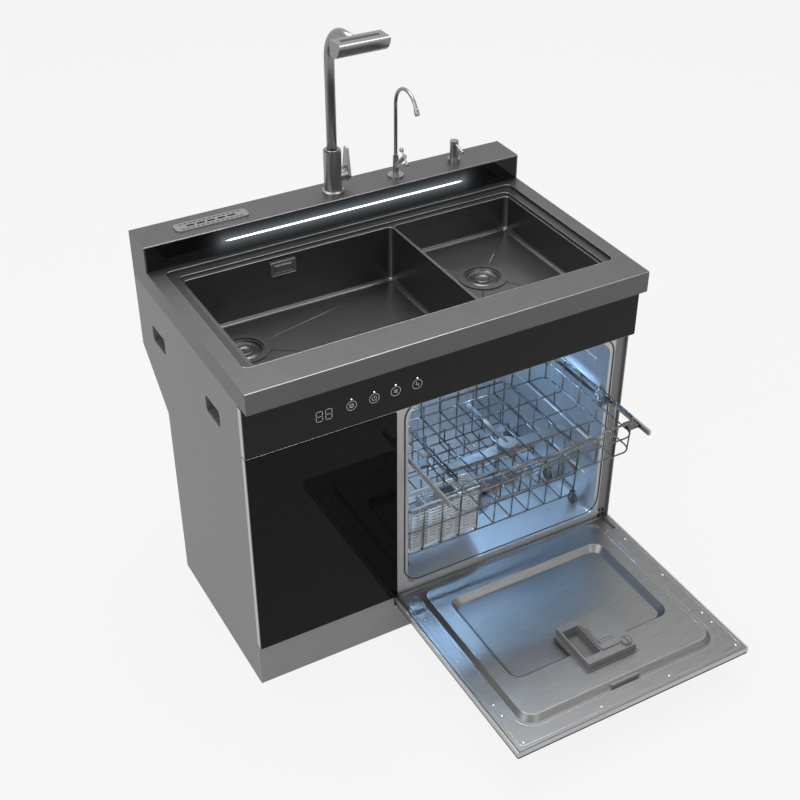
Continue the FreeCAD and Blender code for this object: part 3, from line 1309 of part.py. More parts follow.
def make_ledge_parts():
    x, row = s.knife_place, fitting_row
    half_length, half_width = s.knife_length / 2, s.knife_width / 2
    plate = soft_box("knife_plate_round", (x - half_length, x + half_length),
                     (row - half_width, row + half_width),
                     (ledge_top, ledge_top + s.knife_plate), s.knife_corner, "z")
    in_x = half_length - s.knife_corner - s.drain_play
    in_y = half_width - s.knife_plate - s.drain_play
    well = box("knife_well", (x - in_x, x + in_x), (row - in_y, row + in_y),
               (ledge_top - s.knife_drop, ledge_top))
    slots = []
    reach = in_x - s.knife_wall
    for middle in spread(x - reach, x + reach, int(s.knife_slots.number)):
        slots.append(box("knife_slot", (middle - s.slot_length / 2, middle + s.slot_length / 2),
                         (row - s.slot_width / 2, row + s.slot_width / 2),
                         (ledge_top - s.knife_drop, ledge_top + s.knife_plate)))
    node("knife_holder", cut("knife_cut", fuse("knife_solid", [plate, well]), slots))
    half_bar, half_high = s.light_length / 2, s.light_width / 2
    node("light_bar", soft_box(
        "light", (s.light_place - half_bar, s.light_place + half_bar),
        (ledge_front - s.light_raise, ledge_front),
        (light_level - half_high, light_level + half_high), half_high * 0.95, "y"))


make_worktop()
make_sink()
make_overflow()
make_waste()
make_carcass()
make_fascia()
make_cupboard_door()
make_tub(make_dishwasher_door())
make_lower_rack()
make_upper_rack()
make_faucet()
make_tap()
make_soap()
make_ledge_parts()

document.recompute()
for thing in document.Objects:
    if "Invalid" in thing.State or "Error" in thing.State:
        raise RuntimeError(thing.Name + " failed")
os.makedirs("parts", exist_ok=True)
for name, thing in nodes.items():
    if thing.Shape.isNull() or not thing.Shape.isValid():
        raise RuntimeError(name + " has no sound shape")
    thing.Shape.exportStep("parts/" + name + ".step")
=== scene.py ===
import bmesh
import bpy
from math import cos, pi, radians, sin
from mathutils import Euler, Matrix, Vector


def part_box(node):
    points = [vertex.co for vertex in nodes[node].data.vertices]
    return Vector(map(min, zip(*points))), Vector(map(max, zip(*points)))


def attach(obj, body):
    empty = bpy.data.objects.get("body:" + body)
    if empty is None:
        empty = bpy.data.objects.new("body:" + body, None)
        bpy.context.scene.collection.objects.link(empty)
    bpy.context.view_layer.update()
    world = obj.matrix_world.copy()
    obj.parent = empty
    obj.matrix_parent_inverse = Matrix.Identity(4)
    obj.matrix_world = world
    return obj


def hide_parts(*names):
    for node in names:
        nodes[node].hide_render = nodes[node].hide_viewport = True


# The looks of the dishwasher sink unit, in metres, in the frame that the CAD shares.
# X runs to the right, Y to the back and Z up, from the floor under the worktop's centre.

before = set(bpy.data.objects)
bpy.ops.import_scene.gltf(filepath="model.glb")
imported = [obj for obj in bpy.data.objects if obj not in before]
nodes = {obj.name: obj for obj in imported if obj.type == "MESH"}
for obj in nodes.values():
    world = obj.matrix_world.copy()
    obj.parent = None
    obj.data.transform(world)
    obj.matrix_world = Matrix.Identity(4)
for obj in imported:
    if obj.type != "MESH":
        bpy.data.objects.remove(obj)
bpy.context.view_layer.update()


# Camera at the photograph's angle

PHOTO_PIXELS = 800
FOCAL_PIXELS = 1330.5
SENSOR_WIDTH = 36.0
CAMERA_PLACE = (-1.1478, -2.1088, 2.1347)
CAMERA_AZIMUTH = -29.155
CAMERA_ELEVATION = 35.436


def make_camera():
    data = bpy.data.cameras.new("camera")
    data.sensor_width = SENSOR_WIDTH
    data.lens = FOCAL_PIXELS * SENSOR_WIDTH / PHOTO_PIXELS
    camera = bpy.data.objects.new("camera", data)
    bpy.context.scene.collection.objects.link(camera)
    camera.location = CAMERA_PLACE
    camera.rotation_euler = Euler((radians(90 - CAMERA_ELEVATION), 0, radians(CAMERA_AZIMUTH)))
    bpy.context.scene.camera = camera


# Studio

BACKGROUND = 0.904
FLOOR_GLOW = 0.915
FLOOR_SIZE = 60.0
FLOOR_COLOUR = 0.8
FLOOR_SHADE = 0.05          # how much of the lit floor, and so of the shadow, is seen
WORLD_LIGHT = 0.55

# Name, place, target, size and energy
LAMPS = (
    ("key", (-3.2, -1.2, 3.0), (0, 0, 0.6), (2.4, 2.4), 90),
    ("front", (0.6, -4.0, 2.2), (0.1, 0, 0.5), (2.5, 1.8), 40),
    ("top", (0.3, 0.6, 3.6), (0, 0, 0.8), (2.6, 2.0), 105),
)


def make_lamp(name, place, target, size, energy):
    data = bpy.data.lights.new(name, "AREA")
    data.shape = "RECTANGLE"
    data.size, data.size_y = size
    data.energy = energy
    lamp = bpy.data.objects.new(name, data)
    lamp.location = place
    lamp.rotation_euler = (Vector(target) - Vector(place)).to_track_quat("-Z", "Y").to_euler()
    bpy.context.scene.collection.objects.link(lamp)


def reckon(tree, operation, first, second=0.0):
    """A sum on two sockets or numbers."""
    step = tree.nodes.new("ShaderNodeMath")
    step.operation = operation
    for i, value in enumerate((first, second)):
        if isinstance(value, (int, float)):
            step.inputs[i].default_value = value
        else:
            tree.links.new(value, step.inputs[i])
    return step.outputs[0]


def seen_directly(tree):
    """1 for what the camera, glass or metal sees, and 0 for what lights the object."""
    path = tree.nodes.new("ShaderNodeLightPath")
    seen = path.outputs["Is Camera Ray"]
    for ray in ("Is Transmission Ray", "Is Glossy Ray"):
        seen = reckon(tree, "MAXIMUM", seen, path.outputs[ray])
    return seen


def make_world():
    world = bpy.data.worlds.new("studio")
    bpy.context.scene.world = world
    world.use_nodes = True
    tree = world.node_tree
    lit = tree.nodes["Background"]
    lit.inputs["Color"].default_value = (1, 1, 1, 1)
    lit.inputs["Strength"].default_value = WORLD_LIGHT
    seen = tree.nodes.new("ShaderNodeBackground")
    seen.inputs["Color"].default_value = (BACKGROUND, BACKGROUND, BACKGROUND, 1)
    mix = tree.nodes.new("ShaderNodeMixShader")
    tree.links.new(seen_directly(tree), mix.inputs["Fac"])
    tree.links.new(lit.outputs[0], mix.inputs[1])
    tree.links.new(seen.outputs[0], mix.inputs[2])
    tree.links.new(mix.outputs[0], tree.nodes["World Output"].inputs["Surface"])


def make_floor():
    mesh = bpy.data.meshes.new("floor")
    half = FLOOR_SIZE / 2
    corners = [(-half, -half, 0), (half, -half, 0), (half, half, 0), (-half, half, 0)]
    mesh.from_pydata(corners, [], [(0, 1, 2, 3)])
    floor = bpy.data.objects.new("floor", mesh)
    bpy.context.scene.collection.objects.link(floor)
    material = bpy.data.materials.new("floor")
    material.use_nodes = True
    tree = material.node_tree
    tree.nodes.clear()
    out = tree.nodes.new("ShaderNodeOutputMaterial")
    glow = tree.nodes.new("ShaderNodeEmission")
    glow.inputs["Color"].default_value = (FLOOR_GLOW, FLOOR_GLOW, FLOOR_GLOW, 1)
    matt = tree.nodes.new("ShaderNodeBsdfDiffuse")
    matt.inputs["Color"].default_value = (FLOOR_COLOUR, FLOOR_COLOUR, FLOOR_COLOUR, 1)
    shaded = tree.nodes.new("ShaderNodeMixShader")
    shaded.inputs["Fac"].default_value = FLOOR_SHADE
    tree.links.new(glow.outputs[0], shaded.inputs[1])
    tree.links.new(matt.outputs[0], shaded.inputs[2])
    mix = tree.nodes.new("ShaderNodeMixShader")
    tree.links.new(seen_directly(tree), mix.inputs["Fac"])
    tree.links.new(matt.outputs[0], mix.inputs[1])
    tree.links.new(shaded.outputs[0], mix.inputs[2])
    tree.links.new(mix.outputs[0], out.inputs["Surface"])
    mesh.materials.append(material)


# Materials

NOISE_DETAIL = 4.0
NOISE_SPAN = (0.3, 0.7)     # where the noise reaches the dark and the pale grey
RELIEF_DEPTH = 0.0004


def grey(value, tint=0.0):
    """A linear grey, with a little blue if tinted."""
    return (value * (1 - tint), value, value * (1 + tint))


def finish(name, greys, metal, rough, scale, bump=0.0, grain=(1, 1, 1), tint=0.0, glow=None,
           specular=0.5):
    """A surface whose colour and roughness vary with a noise, stretched along its grain."""
    material = bpy.data.materials.new(name)
    material.use_nodes = True
    tree = material.node_tree
    shader = tree.nodes["Principled BSDF"]
    shader.inputs["Metallic"].default_value = metal
    shader.inputs["Specular IOR Level"].default_value = specular
    place = tree.nodes.new("ShaderNodeTexCoord")
    stretch = tree.nodes.new("ShaderNodeMapping")
    stretch.inputs["Scale"].default_value = grain
    noise = tree.nodes.new("ShaderNodeTexNoise")
    noise.inputs["Scale"].default_value = scale
    noise.inputs["Detail"].default_value = NOISE_DETAIL
    colours = tree.nodes.new("ShaderNodeValToRGB")
    for stop, position, value in zip(colours.color_ramp.elements, NOISE_SPAN, greys):
        stop.position = position
        stop.color = (*grey(value, tint), 1)
    level = tree.nodes.new("ShaderNodeMapRange")
    level.inputs["To Min"].default_value = rough[0]
    level.inputs["To Max"].default_value = rough[1]
    tree.links.new(place.outputs["Object"], stretch.inputs["Vector"])
    tree.links.new(stretch.outputs["Vector"], noise.inputs["Vector"])
    tree.links.new(noise.outputs["Fac"], colours.inputs["Fac"])
    tree.links.new(noise.outputs["Fac"], level.inputs["Value"])
    tree.links.new(colours.outputs["Color"], shader.inputs["Base Color"])
    tree.links.new(level.outputs["Result"], shader.inputs["Roughness"])
    if bump:
        relief = tree.nodes.new("ShaderNodeBump")
        relief.inputs["Strength"].default_value = bump
        relief.inputs["Distance"].default_value = RELIEF_DEPTH
        tree.links.new(noise.outputs["Fac"], relief.inputs["Height"])
        tree.links.new(relief.outputs["Normal"], shader.inputs["Normal"])
    if glow:
        shader.inputs["Emission Color"].default_value = (*glow[0], 1)
        shader.inputs["Emission Strength"].default_value = glow[1]
    return material


LIGHT_BAR_X = (-0.275, 0.303)
LIGHT_BAR_Z = 0.801
PAINTED_GLOW_COLOUR = (0.8, 0.92, 1.0)
LED_COLOUR = (0.8, 0.93, 1.0)
SIGN_COLOUR = (0.85, 0.93, 1.0)
TUB_COLOUR = (0.38, 0.65, 1.0)


def make_painted_glow(material, strength, reach):
    """A painted glow: the light bar's light on the glass round it, painted as an emission that
    fades with the distance from it.
    """
    tree = material.node_tree
    place = tree.nodes.new("ShaderNodeTexCoord")
    split = tree.nodes.new("ShaderNodeSeparateXYZ")
    tree.links.new(place.outputs["Object"], split.inputs["Vector"])
    middle = (LIGHT_BAR_X[0] + LIGHT_BAR_X[1]) / 2
    half = (LIGHT_BAR_X[1] - LIGHT_BAR_X[0]) / 2
    aside = reckon(tree, "ABSOLUTE", reckon(tree, "SUBTRACT", split.outputs["X"], middle))
    beyond = reckon(tree, "MAXIMUM", reckon(tree, "SUBTRACT", aside, half), 0.0)
    above = reckon(tree, "SUBTRACT", split.outputs["Z"], LIGHT_BAR_Z)
    squared = reckon(tree, "ADD", reckon(tree, "MULTIPLY", beyond, beyond),
                     reckon(tree, "MULTIPLY", above, above))
    fade = reckon(tree, "DIVIDE", reckon(tree, "SQRT", squared), -reach)
    shader = tree.nodes["Principled BSDF"]
    shader.inputs["Emission Color"].default_value = (*PAINTED_GLOW_COLOUR, 1)
    tree.links.new(reckon(tree, "MULTIPLY", reckon(tree, "EXPONENT", fade), strength),
                   shader.inputs["Emission Strength"])


# Directions of the brushing
ALONG_X = (0.03, 1, 1)
ALONG_Z = (1, 1, 0.03)

# Name, dark and pale grey, metalness, roughness, scale of the noise, bump and grain
worktop_steel = finish("worktop_steel", (0.1, 0.13), 1.0, (0.36, 0.48), 900, 0.25, ALONG_X)
bowl_steel = finish("bowl_steel", (0.1, 0.13), 0.95, (0.26, 0.38), 900, 0.2, ALONG_X)
rim_steel = finish("rim_steel", (0.055, 0.075), 0.9, (0.32, 0.44), 900, 0.2, ALONG_X)
fitting_steel = finish("fitting_steel", (0.25, 0.31), 0.95, (0.26, 0.36), 300, 0.1, ALONG_Z)
drain_steel = finish("drain_steel", (0.1, 0.13), 0.9, (0.26, 0.38), 300, 0.1)
head_steel = finish("head_steel", (0.21, 0.26), 0.95, (0.26, 0.36), 300, 0.1, ALONG_X)
panel_steel = finish("panel_steel", (0.135, 0.16), 0.45, (0.42, 0.52), 700, 0.2, ALONG_Z)
kick_steel = finish("kick_steel", (0.18, 0.215), 0.6, (0.38, 0.5), 700, 0.2, ALONG_X)
edge_steel = finish("edge_steel", (0.36, 0.45), 0.8, (0.25, 0.4), 500, 0.1, ALONG_X)
bright_steel = finish("bright_steel", (0.42, 0.55), 1.0, (0.18, 0.3), 400, 0.1, ALONG_X)
tub_steel = finish("tub_steel", (0.55, 0.68), 0.85, (0.3, 0.42), 300, 0.12, ALONG_Z, tint=0.04)
liner_steel = finish("liner_steel", (0.15, 0.2), 1.0, (0.34, 0.46), 600, 0.2, ALONG_X)
black_glass = finish("black_glass", (0.003, 0.0045), 0.0, (0.02, 0.05), 60, specular=0.18)
door_black = finish("door_black", (0.0025, 0.004), 0.0, (0.015, 0.04), 60, specular=0.09)
rubber = finish("rubber", (0.012, 0.02), 0.0, (0.6, 0.8), 200, 0.3)
wire_steel = finish("wire_steel", (0.1, 0.16), 1.0, (0.2, 0.32), 120, 0.1)
rail_steel = finish("rail_steel", (0.22, 0.3), 0.45, (0.35, 0.45), 300, 0.1)
box_plastic = finish("box_plastic", (0.13, 0.16), 0.2, (0.3, 0.45), 250, 0.2)
arm_plastic = finish("arm_plastic", (0.1, 0.13), 0.0, (0.4, 0.5), 250, 0.2)
pale_plastic = finish("pale_plastic", (0.5, 0.58), 0.0, (0.4, 0.55), 250, 0.2)
dark_plastic = finish("dark_plastic", (0.03, 0.045), 0.0, (0.4, 0.55), 250, 0.2)
lamp_face = finish("lamp_face", (0.8, 0.9), 0.0, (0.3, 0.4), 50, glow=(LED_COLOUR, 3.0))
tub_lamp_face = finish("tub_lamp_face", (0.8, 0.9), 0.0, (0.3, 0.4), 50, glow=(TUB_COLOUR, 290.0))
frame_steel = finish("frame_steel", (0.4, 0.5), 0.35, (0.35, 0.5), 500, 0.15, ALONG_Z)
ledge_black = finish("ledge_black", (0.003, 0.0045), 0.0, (0.03, 0.06), 60, specular=0.2)
# The ledge's glass gets a painted glow of light round the light bar
make_painted_glow(ledge_black, strength=0.22, reach=0.011)
# Pale steel for the painted highlight lines along long edges
painted_highlight_steel = finish("painted_highlight_steel", (0.55, 0.7), 0.5, (0.3, 0.4), 400, 0.1, ALONG_X)
sign_light = finish("sign_light", (0.3, 0.4), 0.0, (0.4, 0.5), 50, glow=(SIGN_COLOUR, 0.3))
# Black that paints the shade inside slots and holes: the faucet head's slot, the overflow's slot,
# the strainers' holes and the knife holder's slots
painted_slot_shade = finish("painted_slot_shade", (0.006, 0.01), 0.0, (0.5, 0.6), 250, 0.2)

NODE_FINISH = {
    worktop_steel: ["worktop"],
    bowl_steel: ["large_bowl", "small_bowl"],
    rim_steel: ["sink_rim"],
    fitting_steel: ["faucet_body", "faucet_spout", "faucet_cartridge", "faucet_lever", "tap_body",
                    "tap_spout", "tap_handle", "soap_nozzle", "soap_bottle", "knife_holder",
                    "overflow_cover"],
    drain_steel: ["drain_fittings", "large_strainer", "small_strainer"],
    panel_steel: ["side_panel_left", "side_panel_right", "back_panel", "base_plate",
                  "cupboard_liner"],
    kick_steel: ["kick_plate"],
    edge_steel: ["fascia_frame", "cupboard_door_panel", "door_panel", "cupboard_fittings"],
    bright_steel: ["tub_rails", "soap_plunger", "sump_filter"],
    tub_steel: ["tub"],
    frame_steel: ["tub_frame"],
    liner_steel: ["door_liner"],
    ledge_black: ["ledge_glass", "light_bar"],
    black_glass: ["fascia_glass"],
    door_black: ["cupboard_door_glass", "door_glass"],
    rubber: ["door_gasket"],
    wire_steel: ["upper_rack_floor", "upper_rack_walls", "lower_rack_floor", "lower_rack_walls",
                 "lower_rack_tines"],
    rail_steel: ["upper_rack_rails"],
    box_plastic: ["dispenser_body", "dispenser_lid", "rinse_cap"],
    pale_plastic: ["cutlery_basket", "waste_pipes"],
    arm_plastic: ["lower_spray_arm", "upper_spray_arm"],
    dark_plastic: ["door_hinge_arms", "sump", "wheels_front", "wheels_middle", "wheels_rear"],
    tub_lamp_face: ["tub_lamps"],
}


def dress_nodes():
    for material, names in NODE_FINISH.items():
        for name in names:
            mesh = nodes[name].data
            mesh.materials.clear()
            mesh.materials.append(material)


# Mesh tools: each gathers many parts in one mesh, in metres

def tube(mesh, line, radius, sides=10, closed=False):
    """A round wire or pipe along a line of points."""
    points = [Vector(p) for p in line]
    count = len(points)
    steps = []
    for i in range(count):
        before = points[i - 1] if i or closed else points[i]
        after = points[(i + 1) % count] if i < count - 1 or closed else points[i]
        steps.append((after - before).normalized())
    across = steps[0].orthogonal().normalized()
    rings = []
    for i, (point, step) in enumerate(zip(points, steps)):
        if i:
            across = (steps[i - 1].rotation_difference(step) @ across).normalized()
        other = step.cross(across)
        ring = []
        for k in range(sides):
            angle = 2 * pi * k / sides
            way = cos(angle) * across + sin(angle) * other
            ring.append(mesh.verts.new(point + radius * way))
        rings.append(ring)
    pairs = list(zip(rings, rings[1:]))
    if closed:
        pairs.append((rings[-1], nearest_turn(rings[-1], rings[0])))
    for first, second in pairs:
        for k in range(sides):
            face = mesh.faces.new((first[k], first[(k + 1) % sides], second[(k + 1) % sides],
                                   second[k]))
            face.smooth = True
    if not closed:
        mesh.faces.new(list(reversed(rings[0])))
        mesh.faces.new(rings[-1])


def nearest_turn(ring, other):
    """The other ring's points, started at the one nearest to the ring's first."""
    start = min(range(len(other)), key=lambda k: (other[k].co - ring[0].co).length)
    return other[start:] + other[:start]


def block(mesh, low, high, bevel=0.0, segments=2):
    """A box with softened edges."""
    made = bmesh.ops.create_cube(mesh, size=1)["verts"]
    size = Vector(high) - Vector(low)
    middle = (Vector(high) + Vector(low)) / 2
    for vert in made:
        vert.co = Vector((vert.co.x * size.x, vert.co.y * size.y, vert.co.z * size.z)) + middle
    if bevel:
        edges = list(dict.fromkeys(edge for vert in made for edge in vert.link_edges))
        bmesh.ops.bevel(mesh, geom=edges, offset=bevel, segments=segments, affect="EDGES",
                        profile=0.5)


def lathe(mesh, profile, centre, axis=(0, 0, 1), sides=32):
    """A turned form: the profile gives radius and height up the axis."""
    turn = Vector((0, 0, 1)).rotation_difference(Vector(axis))
    rings = []
    for radius, height in profile:
        if radius == 0:
            rings.append([mesh.verts.new(turn @ Vector((0, 0, height)) + Vector(centre))])
            continue
        ring = []
        for k in range(sides):
            angle = 2 * pi * k / sides
            spot = Vector((radius * cos(angle), radius * sin(angle), height))
            ring.append(mesh.verts.new(turn @ spot + Vector(centre)))
        rings.append(ring)
    for i, (first, second) in enumerate(zip(rings, rings[1:])):
        for k in range(sides):
            n = (k + 1) % sides
            corners = (first[k % len(first)], first[n % len(first)], second[n % len(second)],
                       second[k % len(second)])
            face = mesh.faces.new(list(dict.fromkeys(corners)))
            face.smooth = profile[i][1] != profile[i + 1][1]


def loop(x, y, z, radius, steps=5):
    """The points of a level rectangle with rounded corners."""
    left, right, near, far = x[0] + radius, x[1] - radius, y[0] + radius, y[1] - radius
    points = []
    for i, (cx, cy) in enumerate(((right, far), (left, far), (left, near), (right, near))):
        for k in range(steps + 1):
            angle = radians(90 * i + 90 * k / steps)
            points.append((cx + radius * cos(angle), cy + radius * sin(angle), z))
    return points


def border(x, y, width):
    """The low and high corners of the four bars that frame a rectangle."""
    inner_x, inner_y = (x[0] + width, x[1] - width), (y[0] + width, y[1] - width)
    return (((x[0], y[0]), (x[1], inner_y[0])), ((x[0], inner_y[1]), (x[1], y[1])),
            ((x[0], inner_y[0]), (inner_x[0], inner_y[1])),
            ((inner_x[1], inner_y[0]), (x[1], inner_y[1])))


def piece(name, mesh, material, body, *replaced):
    """Turns a gathered mesh into an object that rides on a body."""
    data = bpy.data.meshes.new(name)
    bmesh.ops.recalc_face_normals(mesh, faces=mesh.faces)
    mesh.to_mesh(data)
    mesh.free()
    data.materials.append(material)
    made = bpy.data.objects.new(name, data)
    bpy.context.scene.collection.objects.link(made)
    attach(made, body)
    if replaced:
        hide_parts(*replaced)
    return made


def spread(start, end, count):
    """Evenly spaced places between two ends, without the ends."""
    return [start + (end - start) * (i + 1) / (count + 1) for i in range(count)]


# Racks of round coated wire

WIRE = 0.0018
RIM_WIRE = 0.0025
CORNER = 0.022
WIRE_TURN = 0.004           # where a cross wire turns from a wall to the floor
WAVE_STEPS = 24
WAVE_SPAN = 0.8             # shares of half a rack's width
DIP_SPAN = 0.55
WAVE_HUMPS = 2.5


def rack_wires(x, y, front, floor, rim, columns, rows, dip):
    """Floor grille, upright wires that lean out to the front, a middle rail and a rim."""
    mesh = bmesh.new()
    centre, half_span, half_dip = (x[0] + x[1]) / 2, (x[1] - x[0]) / 2, dip / 2
    tube(mesh, loop(x, y, floor, CORNER), WIRE, 8, True)
    tube(mesh, loop(x, ((y[0] + front) / 2, y[1]), (floor + rim) / 2, CORNER), WIRE, 8, True)
    top = loop(x, (front, y[1]), rim, CORNER)
    if dip:
        wave = []
        for i in range(WAVE_STEPS + 1):
            share = -WAVE_SPAN + 2 * WAVE_SPAN * i / WAVE_STEPS
            hump = abs(sin(WAVE_HUMPS * pi * share / (2 * WAVE_SPAN)))
            level = rim - (dip - half_dip * hump) * (abs(share) < DIP_SPAN)
            wave.append((centre + share * half_span, front, level))
        last_corner = len(top) * 3 // 4
        top = top[:last_corner] + wave + top[last_corner:]
    tube(mesh, top, RIM_WIRE, 8, True)
    for px in spread(*x, columns):
        front_level = rim - half_dip * (abs(px - centre) < half_span / 2)
        tube(mesh, [(px, y[0], floor), (px, y[1], floor)], WIRE, 6)
        tube(mesh, [(px, y[0], floor), (px, front, front_level)], WIRE, 6)
        tube(mesh, [(px, y[1], floor), (px, y[1], rim)], WIRE, 6)
    under = floor - 2 * WIRE
    for py in spread(*y, rows):
        tube(mesh, [(x[0], py, rim), (x[0], py, under + WIRE_TURN),
                    (x[0] + WIRE_TURN, py, under), (x[1] - WIRE_TURN, py, under),
                    (x[1], py, under + WIRE_TURN), (x[1], py, rim)], WIRE, 6)
    inset = CORNER * 0.3
    for px in (x[0] + inset, x[1] - inset):
        tube(mesh, [(px, y[0] + inset, floor), (px, front + inset, rim)], WIRE, 6)
        tube(mesh, [(px, y[1] - inset, floor), (px, y[1] - inset, rim)], WIRE, 6)
    return mesh


LOWER_X, LOWER_Y, LOWER_FRONT = (-0.071, 0.393), (-0.199, 0.120), -0.205
LOWER_FLOOR, LOWER_RIM = 0.150, 0.275
TINE_START, TINE_LEAN = -0.138, 0.003
TINE_FOOT, TINE_BEND, TINE_TOP = 0.1536, 0.207, 0.214
WHEEL_ROWS = (-0.190, -0.087, 0.090)
AXLE_LEVEL, AXLE_RADIUS, AXLE_GAP = 0.1263, 0.0024, 0.0003
FORK_Z, FORK_REACH, FORK_HALF = (0.1203, 0.1482), 0.0116, 0.006
FORK_SHEET, FORK_EDGE = 0.002, 0.0006


def make_lower_rack():
    mesh = rack_wires(LOWER_X, LOWER_Y, LOWER_FRONT, LOWER_FLOOR, LOWER_RIM, 9, 4, 0.0)
    for row in spread(TINE_START, LOWER_Y[1], 2):
        tube(mesh, [(px, row, TINE_FOOT) for px in LOWER_X], WIRE, 6)
        for px in spread(*LOWER_X, 10):
            tube(mesh, [(px, row, TINE_FOOT), (px, row, TINE_BEND),
                        (px, row + TINE_LEAN, TINE_TOP)], WIRE, 6)
    for edge, sign in zip(LOWER_X, (1, -1)):
        end = edge + FORK_REACH * sign
        for row in WHEEL_ROWS:
            for start, low in ((end - FORK_SHEET * sign, FORK_Z[0]),
                               (edge, FORK_Z[1] - FORK_SHEET)):
                near, far = sorted((start, end))
                block(mesh, (near, row - FORK_HALF, low), (far, row + FORK_HALF, FORK_Z[1]),
                      FORK_EDGE)
            tube(mesh, [(edge + AXLE_GAP * sign, row, AXLE_LEVEL), (end, row, AXLE_LEVEL)],
                 AXLE_RADIUS, 16)
    piece("lower_rack_wires", mesh, wire_steel, "lower_rack", "lower_rack_floor",
          "lower_rack_walls", "lower_rack_tines")


UPPER_X, UPPER_Y, UPPER_FRONT = (-0.052, 0.374), (-0.389, -0.070), -0.395
UPPER_FLOOR, UPPER_RIM, UPPER_DIP = 0.408, 0.490, 0.014
PEG_ROWS, PEG_LEAN = (-0.30, -0.17), 0.002
PEG_BEND, PEG_TOP = 0.436, 0.440
HOOK_X = ((-0.083, -0.0515), (0.3735, 0.405))
HOOK_ROWS, HOOK_LENGTH, HOOK_Z = (-0.375, -0.275), 0.024, (0.448, 0.456)
HUB = (0.161, -0.235)
FEED_LEVEL, FEED_RADIUS = 0.401, 0.0065


def make_upper_rack():
    mesh = rack_wires(UPPER_X, UPPER_Y, UPPER_FRONT, UPPER_FLOOR, UPPER_RIM, 8, 4, UPPER_DIP)
    for row in PEG_ROWS:
        for px in spread(*UPPER_X, 8):
            tube(mesh, [(px, row, UPPER_FLOOR), (px, row, PEG_BEND),
                        (px, row + PEG_LEAN, PEG_TOP)], WIRE, 6)
    for low, high in HOOK_X:
        for row in HOOK_ROWS:
            block(mesh, (low, row, HOOK_Z[0]), (high, row + HOOK_LENGTH, HOOK_Z[1]), 0.002)
    piece("upper_rack_wires", mesh, wire_steel, "upper_rack", "upper_rack_floor",
          "upper_rack_walls")
    mesh = bmesh.new()
    lathe(mesh, [(0, 0.3846), (0.0058, 0.3846), (0.006, 0.3849), (0.006, 0.3942),
                 (0.021, 0.3942), (0.022, 0.3952), (0.022, 0.4052), (0.021, 0.4062),
                 (0, 0.4062)], (*HUB, 0), sides=40)
    tube(mesh, [(*HUB, FEED_LEVEL), (HUB[0], UPPER_Y[1] - 0.002, FEED_LEVEL)], FEED_RADIUS, 20)
    piece("upper_arm_feed", mesh, arm_plastic, "upper_rack")


RAIL_X, RAIL_Y = (-0.0855, 0.4075), (-0.404, -0.064)
RAIL_SHEET, RAIL_DEPTH, RAIL_LIP = 0.0016, 0.0055, 0.0015
RAIL_WEB_Z, RAIL_LIP_LEVELS = (0.4462, 0.4578), (0.4455, 0.4570)
RAIL_CAP_Y, RAIL_CAP_Z = (-0.4065, -0.4035), (0.4465, 0.4575)


def make_rails():
    """C channels with a cap on the front end."""
    mesh = bmesh.new()
    for edge, sign in zip(RAIL_X, (1, -1)):
        web = sorted((edge, edge + RAIL_SHEET * sign))
        lips = sorted((edge, edge + RAIL_DEPTH * sign))
        block(mesh, (web[0], RAIL_Y[0], RAIL_WEB_Z[0]), (web[1], RAIL_Y[1], RAIL_WEB_Z[1]),
              0.0005)
        for low in RAIL_LIP_LEVELS:
            block(mesh, (lips[0], RAIL_Y[0], low), (lips[1], RAIL_Y[1], low + RAIL_LIP), 0.0005)
        block(mesh, (lips[0], RAIL_CAP_Y[0], RAIL_CAP_Z[0]),
              (lips[1], RAIL_CAP_Y[1], RAIL_CAP_Z[1]), 0.0012)
    piece("rail_channels", mesh, rail_steel, "upper_rack_rails", "upper_rack_rails")


# Cutlery basket: a dense lattice under a thick rim

BASKET_X, BASKET_Y, BASKET_Z = (-0.051, 0.125), (-0.1929, -0.1369), (0.1521, 0.2701)
BASKET_RIM, BASKET_FOOT, BASKET_WALL = 0.012, 0.006, 0.004
RIM_EDGE, STRIP_EDGE = 0.0012, 0.0005
STRIP_HALF = 0.0016         # half the face of a strip or a post
STRIP_DEPTH, STRIP_INSET = 0.0025, 0.0004
POST_DEPTH, POST_INSET = 0.003, 0.0002


